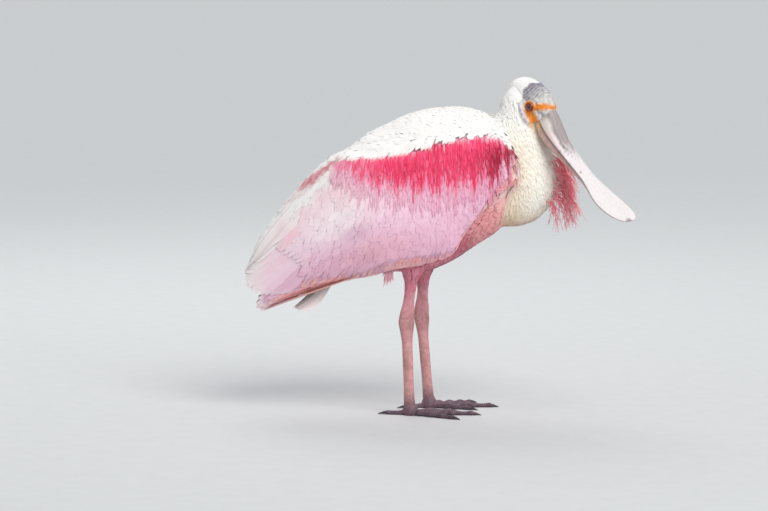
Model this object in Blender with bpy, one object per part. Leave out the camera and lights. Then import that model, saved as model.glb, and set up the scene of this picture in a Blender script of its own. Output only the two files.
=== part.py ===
"""A roseate spoonbill at rest, life size: neck folded, head turned to its right, wings closed.

Metres, +Z up. The bird faces +X, its left side is +Y, and its toes rest on z = 0.
The tables below are in millimetres.
"""

import math

import bmesh
import bpy
import numpy as np

MM = 0.001
GAP = 0.0003  # between neighbouring pieces

# The body lies along a straight axis that falls towards the tail. Station s runs backwards
# along it from BODY_POINT, height t stands square to it, and y is the distance from the mid-plane.
BODY_POINT = np.array([0.030, 0.0, 0.280])
BODY_PITCH = math.radians(25)
BACKWARD = np.array([-math.cos(BODY_PITCH), 0.0, -math.sin(BODY_PITCH)])
UPWARD = np.array([-math.sin(BODY_PITCH), 0.0, math.cos(BODY_PITCH)])
LEFTWARD = np.array([0.0, 1.0, 0.0])

# Torso: station, top, height of the widest place, bottom, half width.
TORSO_MM = (
    (-106, 18, 2, -14, 14),
    (-98, 38, 4, -32, 31),
    (-85, 58, 6, -46, 44),
    (-65, 76, 8, -65, 54),
    (-40, 88, 8, -77, 62),
    (-5, 98, 6, -83, 67),
    (30, 99, 2, -88, 69),
    (65, 98, -2, -86, 70),
    (95, 89, -2, -73, 66),
    (125, 77, 0, -56, 57),
    (155, 56, 2, -42, 43),
    (182, 34, 2, -24, 25),
    (200, 16, 2, -6, 10),
)

# Folded wing, outer face: station, then height and half width of its upper edge, of its
# widest place and of its lower edge.
WING_MM = (
    (-96, 6, 38, -6, 41, -16, 38),
    (-88, 26, 38, -3, 52, -28, 44),
    (-65, 42, 41, 4, 61, -32, 53),
    (-25, 54, 46, 3, 69, -47, 58),
    (0, 57, 47, 0, 73, -60, 56),
    (22, 63, 45, -4, 75, -76, 52),
    (60, 75, 38, -4, 76, -73, 52),
    (95, 92, 18, 0, 73, -65, 50),
    (112, 92, 7.5, 3, 70, -62, 48),
    (130, 88, 3.5, 5, 65, -58, 43),
    (155, 79, 2, 6, 58, -52, 38),
    (180, 68, 1.5, 6, 50, -47.5, 32),
    (230, 40, 1, -3, 30, -44, 19),
    (272, 4, 1, -18, 12, -46, 7),
)

# Arm and hand inside the folded wing: station, share of the wing's height, thickness, sink.
ARM_MM = (
    (-95.5, 1.0, 6, 0.6),
    (-90, 1.0, 10, 0.4),
    (-75, 1.0, 12, 0),
    (-45, 1.0, 12, 0),
    (-10, 1.0, 11, 0),
    (30, 1.0, 9, 0),
    (70, 0.98, 7, 0),
    (110, 0.95, 5.5, 0.2),
    (150, 0.90, 4.5, 0.4),
    (185, 0.86, 3.8, 0.6),
    (212, 0.80, 2.6, 1.0),
)

# Outlines of wing feathers, from root to tip.
ROUND_TIP = (0.6, 1.0, 0.95, 0.45)
LONG_TIP = (0.5, 0.9, 1.0, 0.9, 0.4)
# Wing feathers by tier, from the primaries outwards: how many, then (station, share) of the
# first, middle and last root, and of the same tips.
FEATHER_TIERS = (
    (5, ((196, 0.60), (188, 0.74), (166, 0.84)), ((270, 0.60), (271, 0.76), (263, 0.92))),
    (7, ((160, 0.18), (142, 0.48), (76, 0.90)), ((267, 0.26), (252, 0.50), (196, 0.92))),
    (7, ((84, 0.225), (70, 0.49), (6, 0.90)), ((178, 0.17), (160, 0.48), (96, 0.92))),
    (6, ((20, 0.235), (10, 0.49), (-38, 0.88)), ((102, 0.225), (86, 0.49), (26, 0.90))),
    (5, ((-40, 0.25), (-40, 0.51), (-68, 0.84)), ((38, 0.245), (28, 0.50), (-18, 0.86))),
)
# For each tier: half width, heights of the outer and inner faces along the feather, and
# outline. Only the first two tiers have free ends; the others stay sunk in the arm.
FEATHER_FORMS = (
    (12.0, (-1.6, -1.0, -0.5, -0.6), (-3.0, -2.8, -2.3, -2.0), LONG_TIP),
    (15.5, (-0.9, 0.9, 0.6, 0.2, 0.1), (-2.2, -2.2, -1.6, -0.8, -0.7), LONG_TIP),
    (15.0, (-0.6, 1.1, 1.9, 2.2), (-2.0, -2.0, -2.0, -2.0), ROUND_TIP),
    (15.5, (-0.6, 1.1, 1.9, 2.2), (-2.0, -2.0, -2.0, -2.0), ROUND_TIP),
    (16.0, (-0.6, 1.1, 1.9, 2.2), (-2.0, -2.0, -2.0, -2.0), ROUND_TIP),
)
VANE_ROLL = 0.45  # one side of each feather lies this much higher than its middle

# Neck: height above the floor, centre, reach backwards, reach forwards, half width.
NECK_MM = (
    (402, 119, 8, 6, 7),
    (392, 118, 17, 10, 14),
    (374, 119, 25, 15, 19),
    (356, 121, 31, 22, 24),
    (343, 123, 34, 27, 27),
    (328, 125, 36, 37, 31),
    (308, 126, 38, 44, 35),
    (286, 126, 40, 49, 38),
    (264, 124, 38, 44, 36),
    (246, 119, 32, 33, 29),
    (235, 114, 22, 23, 19),
    (230, 112, 9, 10, 8),
)
NECK_SPLIT = 0.336  # the height that parts the upper neck from the lower

# Head and bill share a frame at the skull's middle, along the bill, turned and bowed.
SKULL_POINT = np.array([0.136, 0.0, 0.387])
HEAD_TURN = math.radians(45)
HEAD_BOW = math.radians(40)

# Skull: distance along the bill's line, top, bottom, half width.
SKULL_MM = (
    (35.5, 15.0, -14.2, 12.8),
    (27, 20.0, -17.0, 15.2),
    (16, 23.6, -20.0, 17.5),
    (4, 23.8, -22.0, 19.0),
    (-8, 21.0, -22.5, 20.0),
    (-18, 17.5, -21.5, 19.0),
    (-27, 11.5, -18.0, 15.5),
    (-32, 4.0, -10.0, 8.0),
)
EYE_PLACE = np.array([15.8, 14.8, 0.8]) * MM  # along, out from the mid-plane, up
EYE_RADIUS = 0.0062
LID_RADIUS = 0.0058
LID_THICKNESS = 0.0015
EAR_PLACE = np.array([-4.0, 20.6, -7.0]) * MM
EAR_SIZE = np.array([4.6, 2.6, 3.4]) * MM

# Bill: distance along, top, mouth line, bottom, half width.
BILL_MM = (
    (35.8, 14.6, -6.0, -15.6, 12.4),
    (42, 12.4, -6.6, -18.0, 13.6),
    (52, 7.2, -7.6, -20.2, 15.0),
    (68, 0.0, -9.0, -20.6, 15.2),
    (90, -4.6, -10.4, -19.6, 14.0),
    (112, -6.2, -11.2, -18.4, 13.1),
    (134, -7.0, -11.8, -17.2, 13.7),
    (150, -7.2, -11.6, -15.9, 17.9),
    (164, -7.8, -11.6, -15.0, 22.6),
    (178, -7.2, -10.6, -13.8, 25.2),
    (191, -5.8, -8.8, -11.6, 25.0),
    (201, -4.8, -7.2, -9.6, 21.6),
    (208, -4.4, -6.2, -8.2, 15.4),
    (212.5, -4.4, -5.6, -6.9, 7.0),
)
NOSTRIL_PLACE = np.array([47.0, 5.6, 9.0]) * MM
NOSTRIL_SIZE = np.array([5.2, 1.1, 2.0]) * MM

# Legs: where each foot stands, and its joints above it. Side is +1 on the bird's left.
FOOT_PLACE = {1: np.array([0.011, 0.030, 0.0]), -1: np.array([-0.013, -0.030, 0.0])}
ANKLE_HEIGHT = 0.013
HOCK_HEIGHT = 0.117
HOCK_SHIFT = {1: -0.009, -1: -0.004}
KNEE_HEIGHT = 0.196
KNEE_SHIFT = {1: -0.004, -1: 0.006}

# Toes: turn from straight ahead on the inner side, length, root radius, number of bones.
TOES = {
    "inner": (math.radians(22), 0.056, 0.0044, 2),
    "middle": (math.radians(-2), 0.078, 0.0047, 3),
    "outer": (math.radians(-34), 0.064, 0.0044, 4),
    "hind": (math.radians(170), 0.030, 0.0040, 1),
}
FOOT_LENGTH = 0.025  # how far the foot itself reaches along each front toe
CLAW_LENGTH = 0.010

# Tail: where it leaves the body and which way it hangs.
TAIL_ROOT = np.array([-0.086, 0.0, 0.191])
TAIL_DROOP = math.radians(42)
TAIL_FAN = math.radians(8)  # how far the outermost feather turns from the middle
TAIL_LENGTH = 0.094
TAIL_FEATHERS = 9

# Breast plume: curled locks on the front of the lower neck.
PLUME_LOCKS = 13

SIDE_NAMES = {1: "left", -1: "right"}

SEED = 7


def clear_scene():
    for old in list(bpy.data.objects):
        bpy.data.objects.remove(old, do_unlink=True)


def material(name, colour, roughness, metallic=0.0):
    made = bpy.data.materials.new(name)
    made.use_nodes = True
    shader = made.node_tree.nodes["Principled BSDF"]
    shader.inputs["Base Color"].default_value = (*colour, 1.0)
    shader.inputs["Roughness"].default_value = roughness
    shader.inputs["Metallic"].default_value = metallic
    return made


def unit(vector):
    vector = np.asarray(vector, float)
    return vector / np.linalg.norm(vector, axis=-1, keepdims=True)


def smooth_table(table, at):
    """Every column of a table whose first column rises or falls, read smoothly at `at`."""
    table = np.asarray(table, float)
    if table[0, 0] > table[-1, 0]:
        table = table[::-1]
    x = table[:, 0]
    y = table[:, 1:]
    slope = np.gradient(y, x, axis=0)
    at = np.clip(np.asarray(at, float), x[0], x[-1])
    i = np.clip(np.searchsorted(x, at) - 1, 0, len(x) - 2)
    width = (x[i + 1] - x[i])[..., None]
    u = ((at - x[i]) / width[..., 0])[..., None]
    return (
        y[i] * (1 + 2 * u) * (1 - u) ** 2
        + slope[i] * width * u * (1 - u) ** 2
        + y[i + 1] * (3 - 2 * u) * u**2
        + slope[i + 1] * width * (u - 1) * u**2
    )


def mesh_object(name, points, faces, look=None):
    """A closed mesh with its faces turned outwards."""
    mesh = bpy.data.meshes.new(name)
    mesh.from_pydata([tuple(p) for p in points], [], [tuple(f) for f in faces])
    edit = bmesh.new()
    edit.from_mesh(mesh)
    bmesh.ops.recalc_face_normals(edit, faces=edit.faces)
    edit.to_mesh(mesh)
    edit.free()
    mesh.shade_smooth()
    mesh.set_sharp_from_angle(angle=math.radians(40))
    made = bpy.data.objects.new(name, mesh)
    bpy.context.scene.collection.objects.link(made)
    if look is not None:
        mesh.materials.append(look)
    return made


def loft(name, rings, look=None):
    """A skin over rings of equally many points, closed by a flat face at each end."""
    count = len(rings[0])
    points = np.concatenate(rings)
    faces = [range(count), range(len(points) - count, len(points))]
    for r in range(len(rings) - 1):
        for k in range(count):
            after = (k + 1) % count
            low = r * count
            faces.append((low + k, low + after, low + count + after, low + count + k))
    return mesh_object(name, points, faces, look)


def ring_angles(count):
    return np.arange(count) * 2 * math.pi / count


def egg_ring(centre, up, side, top, bottom, half_width, count):
    """A ring in the plane of up and side, with its own reach above and below the centre."""
    angle = ring_angles(count)
    reach = np.where(np.cos(angle) > 0, top, bottom)
    return (
        np.asarray(centre)
        + np.outer(np.cos(angle) * reach, up)
        + np.outer(np.sin(angle) * half_width, side)
    )


def evaluated_copy(target):
    bpy.context.view_layer.update()
    graph = bpy.context.evaluated_depsgraph_get()
    return bpy.data.meshes.new_from_object(target.evaluated_get(graph))


def combine(target, others, operation, solver="EXACT"):
    """Joins the others to the target, or cuts them from it, keeps the largest body, and removes them."""
    group = bpy.data.collections.new("operands")
    bpy.context.scene.collection.children.link(group)
    for other in others:
        bpy.context.scene.collection.objects.unlink(other)
        group.objects.link(other)
    modifier = target.modifiers.new("Combine", "BOOLEAN")
    modifier.operand_type = "COLLECTION"
    modifier.collection = group
    modifier.operation = operation
    modifier.solver = solver
    made = evaluated_copy(target)
    target.modifiers.clear()
    target.data = made
    for other in others:
        bpy.data.objects.remove(other, do_unlink=True)
    bpy.data.collections.remove(group)
    keep_largest(target)
    return target


def volume_of(faces):
    return sum(
        f.verts[0].co.dot(f.verts[i].co.cross(f.verts[i + 1].co))
        for f in faces
        for i in range(1, len(f.verts) - 1)
    )


def keep_largest(target):
    """Keeps the closed surface that holds most, which drops scraps and sealed hollows."""
    edit = bmesh.new()
    edit.from_mesh(target.data)
    left = set(edit.faces)
    shells = []
    while left:
        front = [left.pop()]
        shell = []
        while front:
            face = front.pop()
            shell.append(face)
            for edge in face.edges:
                for near in edge.link_faces if len(edge.link_faces) == 2 else ():
                    if near in left:
                        left.remove(near)
                        front.append(near)
        shells.append(shell)
    largest = max(shells, key=volume_of)
    kept = set(largest)
    bmesh.ops.delete(edit, geom=[f for f in edit.faces if f not in kept], context="FACES")
    edit.to_mesh(target.data)
    edit.free()


def inflated(source, by=GAP, name="cutter"):
    """A copy of a mesh object pushed outwards all over, to cut a neighbour clear of it."""
    mesh = source.data.copy()
    made = bpy.data.objects.new(name, mesh)
    bpy.context.scene.collection.objects.link(made)
    edit = bmesh.new()
    edit.from_mesh(mesh)
    edit.normal_update()
    moved = [v.co + v.normal * by * v.calc_shell_factor() for v in edit.verts]
    for vertex, place in zip(edit.verts, moved):
        vertex.co = place
    edit.to_mesh(mesh)
    edit.free()
    return made


def body_point(s, t, y):
    s, t, y = (np.asarray(a, float)[..., None] for a in (s, t, y))
    return BODY_POINT + s * BACKWARD + t * UPWARD + y * LEFTWARD


def make_torso(looks):
    rings = []
    for s, top, middle, bottom, half_width in np.array(TORSO_MM) * MM:
        centre = body_point(s, middle, 0.0)
        rings.append(
            egg_ring(centre, UPWARD, LEFTWARD, top - middle, middle - bottom, half_width, 26)
        )
    return loft("torso", rings, looks["white_plumage"])


def wing_surface(s, v, side):
    """The folded wing's outer face: station s in metres, share v from the upper edge to the lower."""
    row = smooth_table(WING_MM, np.asarray(s, float) / MM) * MM
    top, top_y, middle, widest, bottom, bottom_y = np.moveaxis(row, -1, 0)
    angle = np.asarray(v, float) * math.pi
    upper = angle < math.pi / 2
    reach = np.where(upper, top - middle, middle - bottom)
    edge_y = np.where(upper, top_y, bottom_y)
    t = middle + reach * np.cos(angle)
    y = edge_y + (widest - edge_y) * np.sin(angle)
    return body_point(s, t, y * side)


def wing_normal(s, v, side):
    """The outward direction of the folded wing's face."""
    step = 0.001
    inner_v = np.clip(v, 0.02, 0.98)
    along = wing_surface(s + step, inner_v, side) - wing_surface(s - step, inner_v, side)
    down = wing_surface(s, inner_v + step, side) - wing_surface(s, inner_v - step, side)
    return unit(np.cross(along, down)) * side


def make_arm(side, looks):
    """The wing's arm and hand: a curved shell under the coverts."""
    columns = 9
    rings = []
    for s, share, thickness, sink in ARM_MM:
        v = np.linspace(0, share, columns)
        stations = np.full(columns, s * MM)
        normal = wing_normal(stations, v, side)
        outer = wing_surface(stations, v, side) - normal * sink * MM
        edge = np.sin(np.linspace(0.16, math.pi - 0.16, columns)) ** 0.5
        inner = outer - normal * (thickness * MM * edge)[:, None]
        rings.append(np.concatenate([outer, inner[::-1]]))
    return loft(f"wing_{SIDE_NAMES[side]}", rings, looks["pink_plumage"])


def vane(centre, normal, half_width, outer, inner, roll):
    """One feather: a thin closed strip along a row of centres, split alike on both faces."""
    rows = len(centre)
    along = unit(np.gradient(centre, axis=0))
    across = unit(np.cross(normal, along))
    points = []
    for height, lean in ((outer, roll), (inner, 0 * roll)):
        for share in (-1, 1):
            lift = (height + share * lean)[:, None]
            points.append(centre + across * (share * half_width)[:, None] + normal * lift)
    points = np.concatenate(points)
    faces = []
    for r in range(rows - 1):
        outer_a, outer_b, inner_a, inner_b = (r + rows * k for k in range(4))
        faces += [(outer_a, outer_b, outer_b + 1), (outer_a, outer_b + 1, outer_a + 1)]
        faces += [(inner_a, inner_b + 1, inner_b), (inner_a, inner_a + 1, inner_b + 1)]
        faces += [(outer_a, outer_a + 1, inner_a + 1), (outer_a, inner_a + 1, inner_a)]
        faces += [(outer_b, inner_b + 1, outer_b + 1), (outer_b, inner_b, inner_b + 1)]
    for r in (0, rows - 1):
        faces += [(r, r + rows, r + 3 * rows), (r, r + 3 * rows, r + 2 * rows)]
    return mesh_object("vane", points, faces)


def resampled(values, u):
    return np.interp(u, np.linspace(0, 1, len(values)), values)


def wing_vane(side, root, tip, half_width, outer, inner, shape):
    """A feather that lies on the folded wing from root to tip, each a (station mm, share) pair."""
    u = np.linspace(0, 1, len(shape))
    s = (root[0] + (tip[0] - root[0]) * u) * MM
    v = root[1] + (tip[1] - root[1]) * u
    return vane(
        wing_surface(s, v, side),
        wing_normal(s, v, side),
        np.array(shape) * half_width * MM,
        resampled(outer, u) * MM,
        resampled(inner, u) * MM,
        VANE_ROLL * MM * np.clip(u * 3, 0, 1),
    )


def mixed(first, last, share):
    return tuple(a + (b - a) * share for a, b in zip(first, last))


def feather_tier(side, count, roots, tips, half_width, outer, inner, shape):
    """Feathers from a line of roots to a line of tips. A line is three (station, share) pairs."""
    made = []
    for i in range(count):
        f = 2 * i / (count - 1)
        k = min(int(f), 1)
        root, tip = (mixed(line[k], line[k + 1], f - k) for line in (roots, tips))
        made.append(wing_vane(side, root, tip, half_width, outer, inner, shape))
    return made


def make_wing(arm, side):
    """Adds the feathers to the arm."""
    vanes = []
    for (count, roots, tips), (half_width, outer, inner, shape) in zip(
        FEATHER_TIERS, FEATHER_FORMS
    ):
        vanes += feather_tier(side, count, roots, tips, half_width, outer, inner, shape)
    return combine(arm, vanes, "UNION")


def head_frame():
    """The head's forward, left and up directions."""
    turn, bow = HEAD_TURN, HEAD_BOW
    forward = np.array(
        [math.cos(bow) * math.cos(turn), -math.cos(bow) * math.sin(turn), -math.sin(bow)]
    )
    left = np.array([math.sin(turn), math.cos(turn), 0.0])
    return forward, left, np.cross(forward, left)


def head_point(x, y, z):
    forward, left, up = head_frame()
    x, y, z = (np.asarray(a, float)[..., None] for a in (x, y, z))
    return SKULL_POINT + x * forward + y * left + z * up


def ellipsoid(name, centre, size, axes, around=16, rings=10):
    """A closed ellipsoid with its half sizes along three axes."""
    made = []
    for k in range(1, rings):
        polar = math.pi * k / rings
        angle = ring_angles(around)
        made.append(
            centre
            + np.outer(np.full(around, math.cos(polar) * size[0]), axes[0])
            + np.outer(np.cos(angle) * math.sin(polar) * size[1], axes[1])
            + np.outer(np.sin(angle) * math.sin(polar) * size[2], axes[2])
        )
    points = np.concatenate(made)
    poles = [centre + axes[0] * size[0], centre - axes[0] * size[0]]
    faces = []
    for r in range(rings - 2):
        for k in range(around):
            after = (k + 1) % around
            low = r * around
            faces.append((low + k, low + after, low + around + after, low + around + k))
    last = (rings - 2) * around
    for k in range(around):
        after = (k + 1) % around
        faces.append((len(points), k, after))
        faces.append((len(points) + 1, last + after, last + k))
    return mesh_object(name, np.concatenate([points, poles]), faces)


def torus(name, centre, normal, first, radius, thickness, around=14, tube=5):
    second = np.cross(normal, first)
    points = []
    for k in range(around):
        angle = 2 * math.pi * k / around
        out = math.cos(angle) * first + math.sin(angle) * second
        for j in range(tube):
            turn = 2 * math.pi * j / tube
            points.append(
                centre
                + out * (radius + thickness * math.cos(turn))
                + normal * thickness * math.sin(turn)
            )
    faces = []
    for k in range(around):
        for j in range(tube):
            a, b = k * tube, (k + 1) % around * tube
            after = (j + 1) % tube
            faces.append((a + j, b + j, b + after, a + after))
    return mesh_object(name, points, faces)


def make_skull(looks):
    forward, left, up = head_frame()
    rings = []
    for x, top, bottom, half_width in np.array(SKULL_MM) * MM:
        centre = head_point(x, 0.0, 0.0)
        rings.append(egg_ring(centre, up, left, top, -bottom, half_width, 22))
    skull = loft("head", rings, looks["white_plumage"])
    whole = inflated(skull, 2 * GAP)
    lids, sockets, eyes = [], [], []
    for side in (1, -1):
        place = EYE_PLACE * (1, side, 1)
        centre = head_point(*place)
        outward = unit(left * side + forward * 0.24 + up * 0.10)
        first = unit(np.cross(up, outward))
        lids.append(
            torus("lid", centre + outward * 0.0035, outward, first, LID_RADIUS, LID_THICKNESS)
        )
        axes = (outward, first, np.cross(outward, first))
        eye = ellipsoid(f"eye_{SIDE_NAMES[side]}", centre, [EYE_RADIUS] * 3, axes, 14, 9)
        eye.data.materials.append(looks["eye"])
        eyes.append(eye)
        sockets.append(inflated(eye))
        ear = head_point(*(EAR_PLACE * (1, side, 1)))
        sockets.append(ellipsoid("ear", ear, EAR_SIZE, (forward, left, up), 12, 8))
    combine(skull, lids, "UNION")
    combine(skull, sockets, "DIFFERENCE")
    return skull, eyes, whole


def bill_ring(x, low, high, half_width, count, domed_up):
    """A ring that is flat at the mouth line and domed away from it."""
    forward, left, up = head_frame()
    angle = np.linspace(0, math.pi, count)
    across = np.cos(angle) * half_width
    dome = np.sin(angle) ** 0.8
    z = low + (high - low) * dome if domed_up else high + (low - high) * dome
    return head_point(np.full(count, x), across, z)


def make_bill(looks):
    upper_rings, lower_rings = [], []
    for x, top, mouth, bottom, half_width in np.array(BILL_MM) * MM:
        upper_rings.append(bill_ring(x, mouth + GAP / 2, top, half_width, 13, True))
        narrower = half_width - min(0.0007, half_width * 0.2)
        lower_rings.append(bill_ring(x, bottom, mouth - GAP / 2, narrower, 11, False))
    upper = loft("bill_upper", upper_rings, looks["bill"])
    lower = loft("bill_lower", lower_rings, looks["bill"])
    forward, left, up = head_frame()
    slits = []
    for side in (1, -1):
        place = head_point(*(NOSTRIL_PLACE * (1, side, 1)))
        slits.append(ellipsoid("nostril", place, NOSTRIL_SIZE, (forward, left, up), 10, 8))
    combine(upper, slits, "DIFFERENCE")
    return upper, lower


def neck_ring(height, centre, back, front, half_width, count=22):
    angle = ring_angles(count)
    reach = np.where(np.cos(angle) > 0, front, back)
    return np.stack(
        [
            centre + np.cos(angle) * reach,
            np.sin(angle) * half_width,
            np.full(count, height),
        ],
        axis=1,
    )


def make_neck(looks):
    table = np.array(NECK_MM) * MM
    split = smooth_table(table, NECK_SPLIT)
    upper = [neck_ring(*row) for row in table if row[0] > NECK_SPLIT]
    lower = [neck_ring(*row) for row in table if row[0] < NECK_SPLIT]
    upper.append(neck_ring(NECK_SPLIT + GAP / 2, *split))
    lower.insert(0, neck_ring(NECK_SPLIT - GAP / 2, *split))
    return (
        loft("neck_upper", upper, looks["white_plumage"]),
        loft("neck_lower", lower, looks["white_plumage"]),
    )


def limb(name, stations, look, count=14):
    """A round limb through (point, half depth, half width) stations, with level rings."""
    rings = []
    for place, depth, width in stations:
        angle = ring_angles(count)
        ring = np.stack([np.cos(angle) * depth, np.sin(angle) * width, np.zeros(count)], axis=1)
        rings.append(np.asarray(place) + ring)
    return loft(name, rings, look)


def make_leg(side, looks):
    """Thigh, bare shank, tarsus, foot and toes of one leg, from the body down."""
    name = SIDE_NAMES[side]
    foot = FOOT_PLACE[side]
    ankle = foot + (0, 0, ANKLE_HEIGHT)
    hock = foot + (HOCK_SHIFT[side], 0, HOCK_HEIGHT)
    knee = foot + (KNEE_SHIFT[side], 0, KNEE_HEIGHT)
    between = GAP / 2 * np.array([0, 0, 1])

    def along(low, high, share):
        return low + (high - low) * share

    thigh = limb(
        f"thigh_{name}",
        [
            (along(hock, knee, 0.60) + between, 0.0085, 0.0080),
            (along(hock, knee, 0.70), 0.0120, 0.0110),
            (along(hock, knee, 0.86), 0.0180, 0.0150),
            (along(hock, knee, 1.04), 0.0220, 0.0170),
            (along(hock, knee, 1.20), 0.0170, 0.0125),
        ],
        looks["pink_plumage"],
    )
    shank = limb(
        f"shank_{name}",
        [
            (hock + between, 0.0096, 0.0070),
            (along(hock, knee, 0.10), 0.0092, 0.0066),
            (along(hock, knee, 0.26), 0.0074, 0.0054),
            (along(hock, knee, 0.45), 0.0070, 0.0052),
            (along(hock, knee, 0.60) - between, 0.0078, 0.0064),
        ],
        looks["leg_skin"],
    )
    tarsus = limb(
        f"tarsus_{name}",
        [
            (ankle + between, 0.0074, 0.0068),
            (along(ankle, hock, 0.07), 0.0070, 0.0058),
            (along(ankle, hock, 0.20), 0.0066, 0.0046),
            (along(ankle, hock, 0.50), 0.0067, 0.0045),
            (along(ankle, hock, 0.78), 0.0072, 0.0050),
            (along(ankle, hock, 0.90), 0.0090, 0.0064),
            (along(ankle, hock, 0.97), 0.0100, 0.0072),
            (hock - between, 0.0098, 0.0071),
        ],
        looks["leg_skin"],
    )
    pad = limb(
        f"foot_{name}",
        [
            (foot + (0.001, 0, 0), 0.0085, 0.0085),
            (foot + (0.001, 0, 0.003), 0.0098, 0.0100),
            (foot + (0.001, 0, 0.008), 0.0094, 0.0094),
            (ankle - between, 0.0071, 0.0067),
        ],
        looks["leg_skin"],
    )
    return [thigh, shank, tarsus, pad, *make_foot(side, pad, looks)]


def toe_ring(place, heading, half_width, height, count=10):
    """A toe's section: round above and flat below, where it lies on the floor."""
    across = np.cross([0, 0, 1], heading)
    angle = ring_angles(count) + math.pi / 2
    level = np.maximum(np.sin(angle) * 0.5 * height, -0.38 * height)
    level = (level + 0.38 * height) / 0.88
    return place + np.outer(np.cos(angle) * half_width, across) + np.outer(level, [0, 0, 1])


def toe_part(side, toe_name, first, last, look=None, name="toe", lift=0.0):
    """A toe between two distances from the foot's middle, with a swelling at each joint."""
    turn, length, radius, bones = TOES[toe_name]
    turn *= -side
    heading = np.array([math.cos(turn), math.sin(turn), 0.0])
    count = max(2, round((last - first) / length * (2 * bones + 2)) + 1)
    rings = []
    for distance in np.linspace(first, last, count):
        u = distance / length
        swell = 1.0 + 0.14 * math.cos(2 * math.pi * u * bones)
        half_width = radius * (1 - 0.42 * u) * swell
        height = 2 * radius * (1 - 0.45 * u) * swell
        place = FOOT_PLACE[side] + heading * distance + (0, 0, lift)
        rings.append(toe_ring(place, heading, half_width, height))
    return loft(name, rings, look)


def make_claw(side, toe_name, looks):
    turn, length, radius, _ = TOES[toe_name]
    turn *= -side
    heading = np.array([math.cos(turn), math.sin(turn), 0.0])
    tip = FOOT_PLACE[side] + heading * (length + GAP)
    rings = []
    for u in np.linspace(0, 1, 5):
        size = radius * 0.40 * (1 - 0.80 * u)
        rise = (0.0018 - 0.0014 * u**2) * (1 - 0.2 * u) + 0.0002
        place = tip + heading * CLAW_LENGTH * u + (0, 0, rise)
        rings.append(toe_ring(place, heading, size, 2.0 * size, 8))
    return loft(f"claw_{SIDE_NAMES[side]}_{toe_name}", rings, looks["claw"])


def make_web(side):
    """The skin between the roots of the front toes."""
    points = []
    for toe_name in ("inner", "middle", "outer"):
        turn = -side * TOES[toe_name][0]
        reach = FOOT_LENGTH * (0.80 if toe_name != "middle" else 0.94)
        points.append(FOOT_PLACE[side] + reach * np.array([math.cos(turn), math.sin(turn), 0]))
    points.append(FOOT_PLACE[side])
    low = np.array(points) + (0, 0, 0.0010)
    high = np.array(points) + (0, 0, 0.0030)
    return loft("web", [low, high])


def make_foot(side, pad, looks):
    """The foot with the roots of its front toes, then each toe and claw."""
    name = SIDE_NAMES[side]
    front = ("inner", "middle", "outer")
    roots = [toe_part(side, toe_name, 0.004, FOOT_LENGTH, lift=GAP) for toe_name in front]
    combine(pad, [*roots, make_web(side)], "UNION")
    pieces = []
    for toe_name, (_, length, _, _) in TOES.items():
        label = f"toe_{name}_{toe_name}"
        start = FOOT_LENGTH + GAP if toe_name in front else 0.004
        toe = toe_part(side, toe_name, start, length, looks["leg_skin"], label)
        if toe_name not in front:
            combine(toe, [inflated(pad)], "DIFFERENCE")
        pieces += [toe, make_claw(side, toe_name, looks)]
    return pieces


def make_tail(looks):
    """The tail's root with its feathers, the middle one on top."""
    backward = np.array([-math.cos(TAIL_DROOP), 0, -math.sin(TAIL_DROOP)])
    up = np.array([-math.sin(TAIL_DROOP), 0, math.cos(TAIL_DROOP)])
    rings = []
    for u, half_width, half_height in ((0, 15, 10), (18, 15, 8), (36, 13, 5), (48, 9, 2.4)):
        centre = TAIL_ROOT + backward * u * MM
        height, width = half_height * MM, half_width * MM
        rings.append(egg_ring(centre, up, LEFTWARD, height, height, width, 18))
    root = loft("tail", rings, looks["white_plumage"])
    vanes = []
    middle = (TAIL_FEATHERS - 1) / 2
    for i in range(TAIL_FEATHERS):
        share = (i - middle) / middle
        heading = backward * math.cos(share * TAIL_FAN) + LEFTWARD * math.sin(share * TAIL_FAN)
        reach = np.linspace(0.018, TAIL_LENGTH - 0.007 * share**2, len(LONG_TIP))
        centre = TAIL_ROOT + np.outer(reach, heading) - up * 0.0012 * abs(i - middle)
        width = np.array(LONG_TIP) * 0.0078
        flat = np.zeros(len(reach))
        normal = np.tile(up, (len(reach), 1))
        vanes.append(vane(centre, normal, width, flat + 0.0015, flat, flat))
    return combine(root, vanes, "UNION")


def make_plume(neck_lower):
    """Curled locks that hang from the front of the lower neck."""
    rng = np.random.default_rng(SEED)
    down = np.array([0.0, 0.0, -1.0])
    locks = []
    for i in range(PLUME_LOCKS):
        f = (i + 0.5) / PLUME_LOCKS * 2 - 1
        height = 0.268 + 0.044 * ((i * 5) % PLUME_LOCKS) / PLUME_LOCKS
        _, centre_x, _, front, half_width = (height, *smooth_table(np.array(NECK_MM) * MM, height))
        angle = f * math.radians(44)
        surface = np.array([centre_x + front * math.cos(angle), half_width * math.sin(angle), height])
        outward = np.array([math.cos(angle), 0.8 * math.sin(angle), -0.15])
        length = 0.039 + 0.011 * rng.random()
        u = np.linspace(0, 1, 5)[:, None]
        curl = 0.30 + 0.35 * rng.random()
        centre = surface - outward * 0.007 + length * (outward * u * (1 - curl * u) + down * u**2)
        normal = np.cross(np.gradient(centre, axis=0), [-math.sin(angle), math.cos(angle), 0])
        width = np.array([0.9, 1.0, 0.85, 0.6, 0.22]) * 0.0024
        flat = np.zeros(5)
        locks.append(vane(centre, unit(normal), width, flat + 0.0011, flat, flat))
    return combine(neck_lower, locks, "UNION")


def centre_on_floor(objects):
    """Moves the whole bird so that its box is centred over the origin."""
    points = np.concatenate(
        [np.array([tuple(v.co) for v in item.data.vertices]) for item in objects]
    )
    middle = (points.min(0) + points.max(0)) / 2
    for item in objects:
        item.location = (-middle[0], -middle[1], 0.0)


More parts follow.
